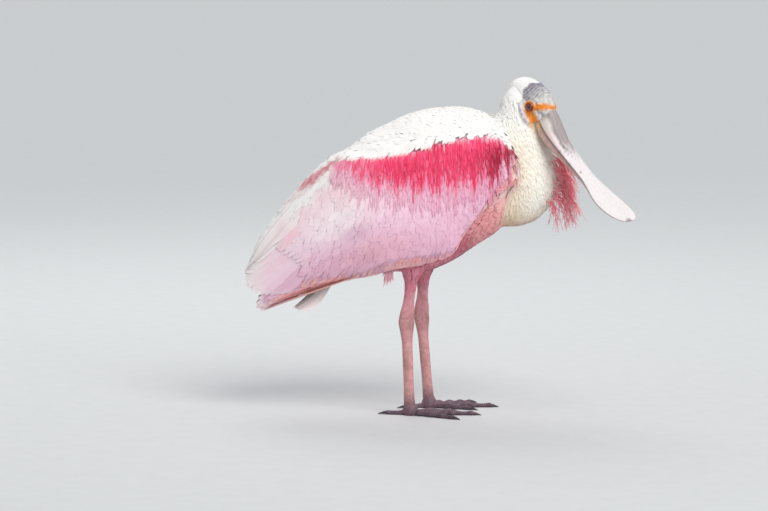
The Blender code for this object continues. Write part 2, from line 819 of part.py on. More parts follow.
def main():
    clear_scene()
    looks = {
        "white_plumage": material("white_plumage", (0.90, 0.86, 0.84), 0.8),
        "pink_plumage": material("pink_plumage", (0.86, 0.52, 0.60), 0.8),
        "leg_skin": material("leg_skin", (0.55, 0.27, 0.24), 0.6),
        "claw": material("claw", (0.06, 0.05, 0.05), 0.45),
        "bill": material("bill", (0.78, 0.72, 0.70), 0.5),
        "eye": material("eye", (0.30, 0.02, 0.02), 0.1),
    }
    torso = make_torso(looks)
    arms = [make_arm(side, looks) for side in (1, -1)]
    skull, eyes, whole_skull = make_skull(looks)
    bills = make_bill(looks)
    neck_upper, neck_lower = make_neck(looks)
    tail = make_tail(looks)
    legs = make_leg(1, looks) + make_leg(-1, looks)
    combine(neck_upper, [whole_skull], "DIFFERENCE")
    combine(neck_lower, [inflated(arm) for arm in arms], "DIFFERENCE")
    combine(torso, [inflated(neck_upper), inflated(neck_lower)], "DIFFERENCE")
    combine(torso, [inflated(arm) for arm in arms], "DIFFERENCE")
    combine(torso, [inflated(tail)], "DIFFERENCE")
    make_plume(neck_lower)
    wings = [make_wing(arm, side) for arm, side in zip(arms, (1, -1))]
    for leg in legs:
        if leg.name.startswith("thigh"):
            combine(leg, [inflated(wing) for wing in wings], "DIFFERENCE")
            combine(torso, [inflated(leg)], "DIFFERENCE")
    centre_on_floor(
        [torso, *wings, skull, *eyes, *bills, neck_upper, neck_lower, tail, *legs]
    )


main()
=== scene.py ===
"""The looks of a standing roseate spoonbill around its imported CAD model.

Metres, +Z up, the bird faces +X and its left side is +Y. The tables and the shape functions
are in millimetres, in the place where the source draws the bird, and put() moves each mesh
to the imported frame.
"""

import math

import bpy
import numpy as np
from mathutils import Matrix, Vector
from mathutils.bvhtree import BVHTree


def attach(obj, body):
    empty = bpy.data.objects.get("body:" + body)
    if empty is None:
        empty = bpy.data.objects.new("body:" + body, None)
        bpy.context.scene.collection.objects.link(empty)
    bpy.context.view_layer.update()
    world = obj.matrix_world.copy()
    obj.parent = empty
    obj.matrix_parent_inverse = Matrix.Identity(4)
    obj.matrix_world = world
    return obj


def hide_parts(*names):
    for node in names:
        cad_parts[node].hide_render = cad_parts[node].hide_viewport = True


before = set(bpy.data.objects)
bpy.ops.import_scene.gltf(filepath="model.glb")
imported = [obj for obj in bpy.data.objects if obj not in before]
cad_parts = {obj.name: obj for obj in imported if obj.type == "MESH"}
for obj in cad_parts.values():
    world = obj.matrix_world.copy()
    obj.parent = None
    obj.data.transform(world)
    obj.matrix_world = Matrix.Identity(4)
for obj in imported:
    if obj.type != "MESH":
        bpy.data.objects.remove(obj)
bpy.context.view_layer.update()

MM = 0.001
SHIFT = np.array([-20.146, 18.234, 0.0])
SEED = 11
rng = np.random.default_rng(SEED)

# The body's own axes: station s backwards, height t, and y out from the mid-plane.
BODY_POINT = np.array([30.0, 0.0, 280.0])
BODY_PITCH = math.radians(25)
BACKWARD = np.array([-math.cos(BODY_PITCH), 0.0, -math.sin(BODY_PITCH)])
UPWARD = np.array([-math.sin(BODY_PITCH), 0.0, math.cos(BODY_PITCH)])
LEFTWARD = np.array([0.0, 1.0, 0.0])
DOWN = np.array([0.0, 0.0, -1.0])

# Torso: station, top, height of the widest place, bottom, half width.
TORSO = (
    (-106, 18, 2, -14, 14),
    (-98, 38, 4, -32, 31),
    (-85, 58, 6, -46, 44),
    (-65, 76, 8, -65, 54),
    (-40, 88, 8, -77, 62),
    (-5, 98, 6, -83, 67),
    (30, 99, 2, -88, 69),
    (65, 98, -2, -86, 70),
    (95, 89, -2, -73, 66),
    (125, 77, 0, -56, 57),
    (155, 56, 2, -42, 43),
    (182, 34, 2, -24, 25),
    (200, 16, 2, -6, 10),
)

# Folded wing: station, then height and half width of its upper edge, widest place, lower edge.
WING = (
    (-96, 6, 38, -6, 41, -16, 38),
    (-88, 26, 38, -3, 52, -28, 44),
    (-65, 42, 41, 4, 61, -32, 53),
    (-25, 54, 46, 3, 69, -47, 58),
    (0, 57, 47, 0, 73, -60, 56),
    (22, 63, 45, -4, 75, -76, 52),
    (60, 75, 38, -4, 76, -73, 52),
    (95, 92, 18, 0, 73, -65, 50),
    (112, 92, 7.5, 3, 70, -62, 48),
    (130, 88, 3.5, 5, 65, -58, 43),
    (155, 79, 2, 6, 58, -52, 38),
    (180, 68, 1.5, 6, 50, -47.5, 32),
    (230, 40, 1, -3, 30, -44, 19),
    (272, 4, 1, -18, 12, -46, 7),
)

# Neck: height, centre, reach backwards, reach forwards, half width.
NECK = (
    (402, 119, 8, 6, 7),
    (392, 118, 17, 10, 14),
    (374, 119, 25, 15, 19),
    (356, 121, 31, 22, 24),
    (343, 123, 34, 27, 27),
    (328, 125, 36, 37, 31),
    (308, 126, 38, 44, 35),
    (286, 126, 40, 49, 38),
    (264, 124, 38, 44, 36),
    (246, 119, 32, 33, 29),
    (235, 114, 22, 23, 19),
    (230, 112, 9, 10, 8),
)

# Head and bill share a frame at the skull's middle, turned to the right and bowed.
SKULL_POINT = np.array([136.0, 0.0, 387.0])
HEAD_TURN = math.radians(45)
HEAD_BOW = math.radians(40)
FORWARD = np.array(
    [
        math.cos(HEAD_BOW) * math.cos(HEAD_TURN),
        -math.cos(HEAD_BOW) * math.sin(HEAD_TURN),
        -math.sin(HEAD_BOW),
    ]
)
HEAD_LEFT = np.array([math.sin(HEAD_TURN), math.cos(HEAD_TURN), 0.0])
HEAD_UP = np.cross(FORWARD, HEAD_LEFT)
SKULL = (
    (35.5, 15, -14.2, 12.8),
    (27, 20, -17, 15.2),
    (16, 23.6, -20, 17.5),
    (4, 23.8, -22, 19),
    (-8, 21, -22.5, 20),
    (-18, 17.5, -21.5, 19),
    (-27, 11.5, -18, 15.5),
    (-32, 4, -10, 8),
)
EYE_PLACE = np.array([15.8, 14.8, 0.8])
EYE_RADIUS = 6.2

# Bill: distance along, top, mouth line, bottom, half width.
BILL = (
    (35.8, 14.6, -6, -15.6, 12.4),
    (42, 12.4, -6.6, -18, 13.6),
    (52, 7.2, -7.6, -20.2, 15),
    (68, 0, -9, -20.6, 15.2),
    (90, -4.6, -10.4, -19.6, 14),
    (112, -6.2, -11.2, -18.4, 13.1),
    (134, -7, -11.8, -17.2, 13.7),
    (150, -7.2, -11.6, -15.9, 17.9),
    (164, -7.8, -11.6, -15, 22.6),
    (178, -7.2, -10.6, -13.8, 25.2),
    (191, -5.8, -8.8, -11.6, 25),
    (201, -4.8, -7.2, -9.6, 21.6),
    (208, -4.4, -6.2, -8.2, 15.4),
    (212.5, -4.4, -5.6, -6.9, 7),
)

# Legs, by side: +1 is the bird's left.
FOOT_PLACE = {1: np.array([11.0, 30.0, 0.0]), -1: np.array([-13.0, -30.0, 0.0])}
ANKLE = 13.0
HOCK = 117.0
KNEE = 196.0
HOCK_SHIFT = {1: -9.0, -1: -4.0}
KNEE_SHIFT = {1: -4.0, -1: 6.0}
# Toes: turn from straight ahead on the inner side, length, root radius, number of bones.
TOES = {
    "inner": (math.radians(22), 56, 4.4, 2),
    "middle": (math.radians(-2), 78, 4.7, 3),
    "outer": (math.radians(-34), 64, 4.4, 4),
    "hind": (math.radians(170), 30, 4.0, 1),
}
CLAW_LENGTH = 10.0
TAIL_ROOT = np.array([-86.0, 0.0, 191.0])
TAIL_DROOP = math.radians(42)
TAIL_BACK = np.array([-math.cos(TAIL_DROOP), 0, -math.sin(TAIL_DROOP)])
TAIL_UP = np.array([-math.sin(TAIL_DROOP), 0, math.cos(TAIL_DROOP)])
TAIL_LENGTH = 94.0
SIDE_NAMES = {1: "left", -1: "right"}

# Where the tables of the wing and the neck begin and end.
WING_FIRST, WING_LAST = -96, 272
NECK_LOW, NECK_HIGH = 231, 401

# Grain of the smooth forms, in millimetres.
WHOLE_VOXEL = 3.0
CORE_VOXEL = 2.6
SKIN_VOXEL = 2.4
LEG_VOXEL = 0.75

# Random places tried for each kind of feather, before those too close together are dropped.
BACK_TRIES = 90000
NECK_TRIES = 90000
BELLY_TRIES = 60000
HEAD_TRIES = 60000
COVERT_TRIES = 36000
CARMINE_TRIES = 90000
EDGE_TRIES = 40000

# Camera and its view of the bird.
LENS = 150
SENSOR = 36
CAMERA_TILT = math.radians(6)
CAMERA_AIM = np.array([-44.3, 0.0, 193.5])
VIEW_WIDTH = 0.9446


def unit(vector):
    vector = np.asarray(vector, float)
    return vector / (np.linalg.norm(vector, axis=-1, keepdims=True) + 1e-12)


def smooth_table(table, at):
    """Every column of a table whose first column rises or falls, read smoothly at `at`."""
    table = np.asarray(table, float)
    if table[0, 0] > table[-1, 0]:
        table = table[::-1]
    x = table[:, 0]
    y = table[:, 1:]
    slope = np.gradient(y, x, axis=0)
    at = np.clip(np.asarray(at, float), x[0], x[-1])
    i = np.clip(np.searchsorted(x, at) - 1, 0, len(x) - 2)
    width = (x[i + 1] - x[i])[..., None]
    u = ((at - x[i]) / width[..., 0])[..., None]
    return (
        y[i] * (1 + 2 * u) * (1 - u) ** 2
        + slope[i] * width * u * (1 - u) ** 2
        + y[i + 1] * (3 - 2 * u) * u**2
        + slope[i + 1] * width * (u - 1) * u**2
    )


def profile(table, at):
    """The columns of a table, each as an array of its own."""
    return np.moveaxis(smooth_table(table, at), -1, 0)


def read(pairs, at):
    """A value between (place, value) pairs, straight from one to the next."""
    pairs = np.asarray(pairs, float)
    return np.interp(at, pairs[:, 0], pairs[:, 1])


def step(low, high, value):
    """0 below low, 1 above high, and smooth between."""
    share = np.clip((np.asarray(value, float) - low) / (high - low), 0, 1)
    return share * share * (3 - 2 * share)


def near(value, middle, reach):
    """1 at the middle, falling smoothly to 0 at the reach."""
    return 1 - step(0, reach, np.abs(np.asarray(value, float) - middle))


def body_point(s, t, y):
    s, t, y = (np.asarray(a, float)[..., None] for a in (s, t, y))
    return BODY_POINT + s * BACKWARD + t * UPWARD + y * LEFTWARD


def body_place(points):
    """Station, height and y of points."""
    from_middle = np.asarray(points) - BODY_POINT
    return from_middle @ BACKWARD, from_middle @ UPWARD, from_middle[..., 1]


def head_point(x, y, z):
    x, y, z = (np.asarray(a, float)[..., None] for a in (x, y, z))
    return SKULL_POINT + x * FORWARD + y * HEAD_LEFT + z * HEAD_UP


def head_place(points):
    from_skull = np.asarray(points) - SKULL_POINT
    return from_skull @ FORWARD, from_skull @ HEAD_LEFT, from_skull @ HEAD_UP


def ring_angles(count):
    return np.arange(count) * 2 * math.pi / count


def ring_faces(rows, count, closed=False):
    """Quads between rings of equally many points, and from the last to the first if closed."""
    low = np.arange(rows if closed else rows - 1)[:, None] * count
    high = (low + count) % (rows * count)
    k = np.arange(count)
    after = (k + 1) % count
    return np.stack([low + k, high + k, high + after, low + after], axis=-1).reshape(-1, 4)


# The order of a quad's corners that turns it over and keeps its first corner.
TURNED = [0, 3, 2, 1]


def torso_surface(s, angle):
    top, middle, bottom, half_width = profile(TORSO, s)
    reach = np.where(np.cos(angle) > 0, top - middle, middle - bottom)
    return body_point(s, middle + reach * np.cos(angle), half_width * np.sin(angle))


def wing_surface(s, v, side):
    """The folded wing's outer face: v runs from 0 at its upper edge to 1 at its lower."""
    top, top_y, middle, widest, bottom, bottom_y = profile(WING, s)
    angle = np.asarray(v, float) * math.pi
    upper = angle < math.pi / 2
    reach = np.where(upper, top - middle, middle - bottom)
    edge_y = np.where(upper, top_y, bottom_y)
    t = middle + reach * np.cos(angle)
    y = edge_y + (widest - edge_y) * np.sin(angle)
    return body_point(s, t, y * side)


def wing_normal(s, v, side):
    inner_v = np.clip(v, 0.02, 0.98)
    along = wing_surface(s + 1, inner_v, side) - wing_surface(s - 1, inner_v, side)
    down = wing_surface(s, inner_v + 0.01, side) - wing_surface(s, inner_v - 0.01, side)
    return unit(np.cross(down, along)) * side


def wing_share(s, t):
    """The share v at which the wing's face stands at height t."""
    top, _, middle, _, bottom, _ = profile(WING, s)
    above = (t - middle) / (top - middle)
    below = (t - middle) / (middle - bottom)
    return np.arccos(np.clip(np.where(t > middle, above, below), -1, 1)) / math.pi


def neck_surface(height, angle):
    centre, back, front, half_width = profile(NECK, height)
    reach = np.where(np.cos(angle) > 0, front, back)
    return np.stack(
        [centre + np.cos(angle) * reach, np.sin(angle) * half_width, height + 0 * angle], axis=-1
    )


def skull_surface(x, angle):
    top, bottom, half_width = profile(SKULL, x)
    reach = np.where(np.cos(angle) > 0, top, -bottom)
    return head_point(x, np.sin(angle) * half_width, np.cos(angle) * reach)


def tube(rings):
    """Points and faces of a closed skin over rings of equally many points."""
    rings = np.asarray(rings)
    rows, count = rings.shape[:2]
    last = rows * count
    ends = [list(range(count)), list(range(last - count, last))[::-1]]
    return rings.reshape(-1, 3), ends + ring_faces(rows, count).tolist()


def turned_over(points, faces, flip):
    """The form, with its faces turned over if flip is set."""
    return points, [face[::-1] for face in faces] if flip else faces


def joined(parts):
    points = []
    faces = []
    shift = 0
    for part_points, part_faces in parts:
        points.append(np.asarray(part_points, float))
        faces += [[i + shift for i in face] for face in part_faces]
        shift += len(part_points)
    return np.concatenate(points), faces


def linked(name, data):
    """A new object with this data, in the scene."""
    made = bpy.data.objects.new(name, data)
    bpy.context.scene.collection.objects.link(made)
    return made


def mesh_points(mesh):
    points = np.empty(len(mesh.vertices) * 3, np.float32)
    mesh.vertices.foreach_get("co", points)
    return points.reshape(-1, 3).astype(float)


def remeshed(parts, voxel, rounds):
    """One closed skin of quads round overlapping closed parts, smoothed."""
    points, faces = joined(parts)
    mesh = bpy.data.meshes.new("work")
    mesh.from_pydata(points.tolist(), [], faces)
    work = linked("work", mesh)
    remesh = work.modifiers.new("Remesh", "REMESH")
    remesh.mode = "VOXEL"
    remesh.voxel_size = voxel
    smooth = work.modifiers.new("Smooth", "SMOOTH")
    smooth.iterations = rounds
    bpy.context.view_layer.update()
    graph = bpy.context.evaluated_depsgraph_get()
    made = bpy.data.meshes.new_from_object(work.evaluated_get(graph))
    bpy.data.objects.remove(work, do_unlink=True)
    return mesh_points(made), np.array([list(face.vertices) for face in made.polygons])


def vertex_normals(points, faces):
    """Area-weighted normals of a mesh of quads."""
    first, second, third, fourth = points[faces].swapaxes(0, 1)
    normal = np.cross(third - first, fourth - second)
    total = np.zeros_like(points)
    for k in range(4):
        np.add.at(total, faces[:, k], normal)
    return unit(total)


def laid(way, normal):
    """The directions, laid along the surface that has these normals."""
    return unit(way - (way * normal).sum(-1, keepdims=True) * normal)


class Surface:
    """A closed surface of quads that feathers lie on."""

    def __init__(self, points, faces):
        self.points = points
        self.faces = faces
        self.normals = vertex_normals(points, faces)
        self.tree = BVHTree.FromPolygons(points.tolist(), faces.tolist())

    def nearest(self, places):
        """The nearest points, and the smooth normals there."""
        found = [self.tree.find_nearest(place) for place in places.tolist()]
        spots = np.array([hit[0] for hit in found])
        corners = self.faces[[hit[2] for hit in found]]
        gap = ((self.points[corners] - spots[:, None]) ** 2).sum(-1)
        weight = 1 / (gap + 0.5)
        return spots, unit((self.normals[corners] * weight[..., None]).sum(1))

    def scatter(self, count, chance=1.0):
        """Random points of the surface, evenly by area times the chance of each face."""
        quad = self.points[self.faces]
        area = np.linalg.norm(np.cross(quad[:, 2] - quad[:, 0], quad[:, 3] - quad[:, 1]), axis=1)
        area = area * chance
        index = rng.choice(len(area), count, p=area / area.sum())
        a, b = rng.random((2, count, 1))
        first, second, third, fourth = quad[index].swapaxes(0, 1)
        return (
            first * (1 - a) * (1 - b) + second * a * (1 - b) + third * a * b + fourth * (1 - a) * b
        )


def spaced(points, gaps):
    """The numbers of points that keep their own distance from those picked before them."""
    cell = float(np.max(gaps))
    cells = {}
    kept = []
    keys = np.floor(points / cell).astype(int).tolist()
    limits = (np.broadcast_to(gaps, len(points)) ** 2).tolist()
    around = [(i, j, k) for i in (-1, 0, 1) for j in (-1, 0, 1) for k in (-1, 0, 1)]
    rows = zip(points.tolist(), keys, limits)
    for number, ((x, y, z), (kx, ky, kz), limit) in enumerate(rows):
        clear = all(
            (px - x) ** 2 + (py - y) ** 2 + (pz - z) ** 2 >= limit
            for i, j, k in around
            for px, py, pz in cells.get((kx + i, ky + j, kz + k), ())
        )
        if clear:
            cells.setdefault((kx, ky, kz), []).append((x, y, z))
            kept.append(number)
    return np.array(kept, int)


# Colours.


def srgb(red, green, blue):
    value = np.array([red, green, blue]) / 255
    return np.where(value < 0.04045, value / 12.92, ((value + 0.055) / 1.055) ** 2.4)


WHITE = srgb(244, 241, 237)
BLUSH = srgb(243, 214, 221)
PALE = srgb(247, 213, 229)
MAUVE = srgb(234, 184, 206)
# Painted shadow: the colour of the dark band along the wing's fold line.
FOLD_SHADOW = srgb(150, 92, 122)
CARMINE = srgb(238, 54, 98)
CRIMSON = srgb(150, 10, 40)
SALMON = srgb(238, 160, 162)
APRICOT = srgb(226, 142, 120)
BELLY = srgb(186, 78, 108)
THIGH = srgb(218, 134, 150)
CREAM = srgb(251, 247, 236)
BUFF = srgb(226, 192, 142)
# Painted shade: the colour of the shadow where the neck meets the wing's front edge.
NECK_WING_SHADOW = srgb(150, 116, 88)
CROWN = srgb(202, 199, 200)
CROWN_DARK = srgb(160, 155, 166)
CHEEK = srgb(236, 230, 229)
ORANGE = srgb(244, 146, 44)
YELLOW = srgb(242, 190, 112)
PLUME = srgb(240, 116, 132)


def mix(first, second, share):
    share = np.asarray(share, float)[..., None]
    return first * (1 - share) + second * share


def paint(colour, *layers):
    """The colour under layers of (colour, share), laid on in turn."""
    for layer, share in layers:
        colour = mix(colour, layer, share)
    return colour


# Edges of the markings on the wing's face: (station, height) pairs, or (station, share).
CARMINE_TOP = (
    (-96, 8), (-90, 14), (-86, 24), (-75, 33), (-62, 42), (-28, 53), (-17, 54), (-3, 58),
    (17, 60), (33, 65), (61, 73), (83, 81), (100, 86), (130, 90),
)
CARMINE_END = (
    (-96, -2), (-77, -13), (-65, -17), (-49, -15), (-28, -10), (-4, -3), (18, 6), (40, 17),
    (61, 29), (81, 43), (97, 62), (112, 84),
)
WHITE_EDGE = ((60, 78), (97, 80), (136, 66), (169, 55), (213, 34), (246, 13), (272, -8))
FOLD = (
    (-96, 0.42), (-85, 0.56), (-71, 0.74), (-39, 0.83), (-8, 0.885), (15, 0.885), (37, 0.86),
    (91, 0.80), (110, 0.85), (139, 0.89), (165, 0.85), (192, 0.80), (213, 0.78), (234, 0.80),
    (272, 0.76),
)


def wing_colour(points):
    """The wing's markings at points of its face, with a painted shadow along the fold and a small
    painted shadow patch at the rear.
    """
    s, t, _ = body_place(points)
    v = wing_share(s, t)
    fold = read(FOLD, s)
    top = scapular_line(s)
    bottom = profile(WING, s)[4]
    down = np.clip((top - t) / (top - bottom + 1e-6), 0, 1)
    rear = near(t, 25 - 0.62 * (s - 203), 13) * near(s, 216, 44)
    across = t + 0.5 * s
    streaks = np.clip(np.sin(across * 0.55) + 0.7 * np.sin(across * 1.31 + 1), 0, 1.4)
    # Painted shadow: a small darker patch on the wing's rear face.
    dark = near(s, 118, 26) * near(t, -2, 13)
    face = paint(
        PALE,
        (MAUVE, step(0.25, 0.85, down)),
        (MAUVE, 0.55 * step(40, -60, s) * step(0.3, 0.9, down)),
        (BLUSH, step(0.42, 0.10, down) * step(70, 130, s)),
        (WHITE, 0.6 * near(down, 0.36, 0.3) * near(s, 130, 90)),
        (APRICOT, 0.22 * near(down, 0.78, 0.2) * near(s, 110, 80)),
        (WHITE, step(-14, 6, t - top + 4 * np.sin(s * 0.21)) * step(60, 95, s)),
        (srgb(222, 96, 128), 0.5 * rear * streaks),
        (WHITE, 0.6 * step(250, 270, s)),
        (srgb(188, 122, 160), 0.45 * dark),
        (BLUSH, 0.5 * step(-62, -88, s) * step(4, -10, t)),
        # Painted shadow: a darker band along the fold, where the upper layer overhangs the strip
        # below.
        (FOLD_SHADOW, 0.42 * near(v, fold, 0.045) * step(-90, -70, s)),
    )
    strip = paint(
        SALMON,
        (srgb(250, 190, 178), step(40, 130, s)),
        (mix(WHITE, BUFF, 0.35), step(-80, -88, s) * step(-34, -18, t)),
        (PALE, 0.45 * near(v, 0.5 * (1 + fold), 0.05)),
        (PALE, 0.6 * step(200, 262, s)),
        (WHITE, 0.5 * step(256, 270, s)),
    )
    return red_streak(mix(face, strip, step(0.0, 0.03, v - fold)), s, t)


def red_streak(colour, s, t):
    """The thin carmine line below the white back feathers, behind the shoulder patch."""
    line = read(((92, 88), (118, 83), (140, 78.5), (162, 74), (176, 67)), s)
    wide = read(((92, 2.5), (118, 4.5), (150, 6), (176, 4)), s)
    share = step(wide, wide * 0.3, np.abs(t - line - 1.0 * np.sin(s * 0.5)))
    share = share * step(92, 112, s) * step(172, 154, s)
    return mix(colour, srgb(200, 34, 74), 0.85 * share)


def carmine_share(s, t):
    """How far a place on the wing lies inside the carmine patch."""
    top = read(CARMINE_TOP, s)
    past = t - read(CARMINE_END, s) - streak_reach(s, t)
    return step(-2, 3, top - t) * step(-5, 5, past) * step(112, 96, s)


def streak_reach(s, t):
    """How much shorter than the longest each streak of carmine hangs, in clumps."""
    across = s * math.sin(math.radians(65)) + t * math.cos(math.radians(65))
    return (
        1
        + 7 * step(-50, -82, s)
        + 5.5 * np.sin(across * 0.27 + 1.3)
        + 5.0 * np.sin(across * 0.61 + 0.4 * np.sin(across * 0.13))
        + 4.0 * np.sin(across * 1.37 + 2.0)
    )


def neck_gap(points):
    """How far out from the neck's middle line points stand, 1 on its surface."""
    z = np.clip(points[..., 2], NECK_LOW, NECK_HIGH)
    centre, back, front, half_width = profile(NECK, z)
    x = points[..., 0] - centre
    return np.hypot(x / np.where(x > 0, front, back), points[..., 1] / half_width)


def neck_share(points):
    """1 on the neck's own surface, falling to 0 away from it."""
    return step(1.30, 1.03, neck_gap(points)) * step(222, 236, points[..., 2])


def neck_colour(points):
    z = points[..., 2]
    centre = profile(NECK, np.clip(z, NECK_LOW, NECK_HIGH))[0]
    behind = np.arctan2(np.abs(points[..., 1]), points[..., 0] - centre) / math.pi
    ripple = 0.06 * np.sin(z * 0.31) + 0.05 * np.sin(z * 0.83 + points[..., 1] * 0.3)
    buff = step(0.34, 0.62, behind + ripple) * step(352, 318, z) * step(0.98, 0.8, behind)
    return paint(
        CREAM,
        (BUFF, 0.47 * buff),
        # Painted shade on the rear side of the neck, where the wing's front edge meets it.
        (NECK_WING_SHADOW, 0.40 * near(behind, 0.66, 0.16) * near(z, 300, 42)),
        (BUFF, 0.45 * step(262, 240, z)),
        (srgb(196, 150, 140), 0.45 * step(246, 231, z)),
        (WHITE, step(345, 372, z)),
    )


def body_colour(points):
    """The colours of the torso, thighs and neck."""
    s, t, y = body_place(points)
    side = paint(BELLY, (THIGH, step(48, 100, s)), (SALMON, step(10, -16, s)))
    breast = paint(WHITE, (BUFF, 0.35), (SALMON, step(-12, -34, t)))
    front = step(-62, -92, s) * step(35, 5, t)
    thigh = step(212, 196, points[..., 2]) * step(0, 30, np.abs(y) + 20)
    return paint(
        WHITE,
        (BLUSH, 0.35 * step(20, -30, t)),
        (side, step(-18, -52, t) * step(170, 140, s)),
        (BLUSH, step(120, 170, s) * step(20, -10, t)),
        (breast, 0.75 * front),
        (THIGH, thigh * step(150, 130, s)),
        (neck_colour(points), neck_share(points)),
    )


# Meshes.


def put(name, points, faces, look, tint, vane=None, uv=None, replaced=(), rim=None):
    """A piece of the model from points in millimetres. Colours and UVs are given by point.

    rim marks the points on the sharp rims of feathers.
    """
    points = (np.asarray(points, float) + SHIFT) * MM
    mesh = bpy.data.meshes.new(name)
    if isinstance(faces, np.ndarray):
        count, width = faces.shape
        mesh.vertices.add(len(points))
        mesh.vertices.foreach_set("co", points.astype(np.float32).ravel())
        mesh.loops.add(count * width)
        mesh.loops.foreach_set("vertex_index", faces.astype(np.int32).ravel())
        mesh.polygons.add(count)
        mesh.polygons.foreach_set("loop_start", np.arange(0, count * width, width, dtype=np.int32))
        mesh.update(calc_edges=True)
    else:
        mesh.from_pydata(points.tolist(), [], [list(face) for face in faces])
    mesh.shade_smooth()
    if rim is not None:
        ends = np.empty(len(mesh.edges) * 2, np.int32)
        mesh.edges.foreach_get("vertices", ends)
        sharp = mesh.attributes.new("sharp_edge", "BOOLEAN", "EDGE")
        sharp.data.foreach_set("value", rim[ends.reshape(-1, 2)].all(axis=1))
    if tint.shape[1] == 3:
        tint = np.concatenate([tint, np.ones((len(tint), 1))], axis=1)
    fields = [("tint", "FLOAT_COLOR", "color", tint)]
    if vane is not None:
        fields.append(("vane", "FLOAT_VECTOR", "vector", vane))
    for label, kind, item, values in fields:
        field = mesh.attributes.new(label, kind, "POINT")
        field.data.foreach_set(item, values.astype(np.float32).ravel())
    if uv is not None:
        corner = np.empty(len(mesh.loops), np.int32)
        mesh.loops.foreach_get("vertex_index", corner)
        layer = mesh.uv_layers.new(name="OFBake")
        layer.uv.foreach_set("vector", uv[corner].astype(np.float32).ravel())
    mesh.materials.append(look)
    made = linked(name, mesh)
    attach(made, "root")
    if replaced:
        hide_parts(*replaced)
    return made


def strip_faces(rows, columns):
    """The faces of a thin closed vane: a grid above, a grid below, and one shared rim."""
    def below(r, c):
        if r in (0, rows - 1) or c in (0, columns - 1):
            return r * columns + c
        return rows * columns + (r - 1) * (columns - 2) + c - 1

    faces = []
    for r in range(rows - 1):
        for c in range(columns - 1):
            low = r * columns + c
            faces.append((low, low + columns, low + columns + 1, low + 1))
            faces.append((below(r, c), below(r, c + 1), below(r + 1, c + 1), below(r + 1, c)))
    return np.array(faces)


class Coat:
    """Feathers of one piece, gathered as arrays."""

    def __init__(self, name):
        self.name = name
        self.blocks = []
        self.count = 0

    def add(self, points, template, tint, vane, uv, rim):
        """points (feather, point, 3), and the same for colours, vane coordinates and UVs."""
        number, each = points.shape[:2]
        start = self.count + np.arange(number) * each
        faces = (template[None] + start[:, None, None]).reshape(-1, template.shape[1])
        flat = [values.reshape(-1, values.shape[-1]) for values in (points, tint, vane, uv)]
        self.blocks.append((faces, np.tile(rim, number), *flat))
        self.count += number * each

    def put(self, look, slot):
        faces, rim, points, tint, vane, uv = map(np.concatenate, zip(*self.blocks))
        put(self.name, points, faces, look, tint, vane, uv, rim=rim)


# Width of one feather's patch on the skin's unwrap.
PATCH = 0.003


def feathers(coat, centre, normal, way, half, lift, colour, form, roots=None):
    """Adds feathers whose middle lines are the rows of centre.

    form holds the columns, the thickness, the cup of the vane, its roll, the sweep of its tip,
    the raggedness of its rim and the pitch of its barbs. roots are the places at which the
    skin's unwrap is read, or else the lines' first points.
    """
    count, rows = centre.shape[:2]
    columns = form["columns"]
    k = np.linspace(-1, 1, columns)
    u = np.linspace(0, 1, rows)
    side = unit(np.cross(normal, way))
    reach = np.linalg.norm(centre[:, -1] - centre[:, 0], axis=1)
    ragged = form["ragged"] * (rng.random((count, 1, columns)) - 0.5)
    ragged = ragged * step(0.45, 1, u)[None, :, None]
    sweep = form["sweep"] * k**2 * step(0.35, 1, u)[:, None]
    along = ragged * reach[:, None, None] - sweep[None] * half.max(1)[:, None, None]
    roll = form["roll"] * rng.choice([-1, 1], (count, 1, 1))
    roll = roll * rng.uniform(0.5, 1.3, (count, 1, 1))
    height = (
        lift[:, :, None]
        - form["cup"] * half[:, :, None] * k**2
        + roll * k * step(0, 0.4, u)[None, :, None]
    )
    top = (
        centre[:, :, None]
        + side[:, :, None] * (half[:, :, None] * k)[..., None]
        + way[:, :, None] * along[..., None]
        + normal[:, :, None] * height[..., None]
    )
    inner = top[:, 1:-1, 1:-1] - normal[:, 1:-1, None] * form["thickness"]
    points = np.concatenate([top.reshape(count, -1, 3), inner.reshape(count, -1, 3)], axis=1)
    grid_k = np.broadcast_to(k, (rows, columns))
    grid_u = np.broadcast_to(u[:, None], (rows, columns))
    flat_k = np.concatenate([grid_k.ravel(), grid_k[1:-1, 1:-1].ravel()])
    flat_u = np.concatenate([grid_u.ravel(), grid_u[1:-1, 1:-1].ravel()])
    widest = half.max(1)[:, None]
    phase = (reach[:, None] * flat_u - 0.8 * np.abs(flat_k) * widest) / form["pitch"]
    vane = np.stack(
        [np.broadcast_to(flat_k, phase.shape), np.broadcast_to(flat_u, phase.shape), phase], -1
    )
    tint = np.repeat(colour[:, :, None], columns, axis=2)
    tint = np.concatenate(
        [tint.reshape(count, -1, 3), tint[:, 1:-1, 1:-1].reshape(count, -1, 3)], axis=1
    )
    lot = np.broadcast_to(rng.random((count, 1, 1)), (*tint.shape[:2], 1))
    spread = np.stack([flat_k * 0.5, flat_u - 0.5], axis=-1) * PATCH
    uv = unwrap(centre[:, 0] if roots is None else roots)[:, None] + spread
    rim = (np.abs(flat_k) == 1) | (flat_u == 0) | (flat_u == 1)
    tint = np.concatenate([tint, lot], axis=-1)
    coat.add(points, strip_faces(rows, columns), tint, vane, uv, rim)


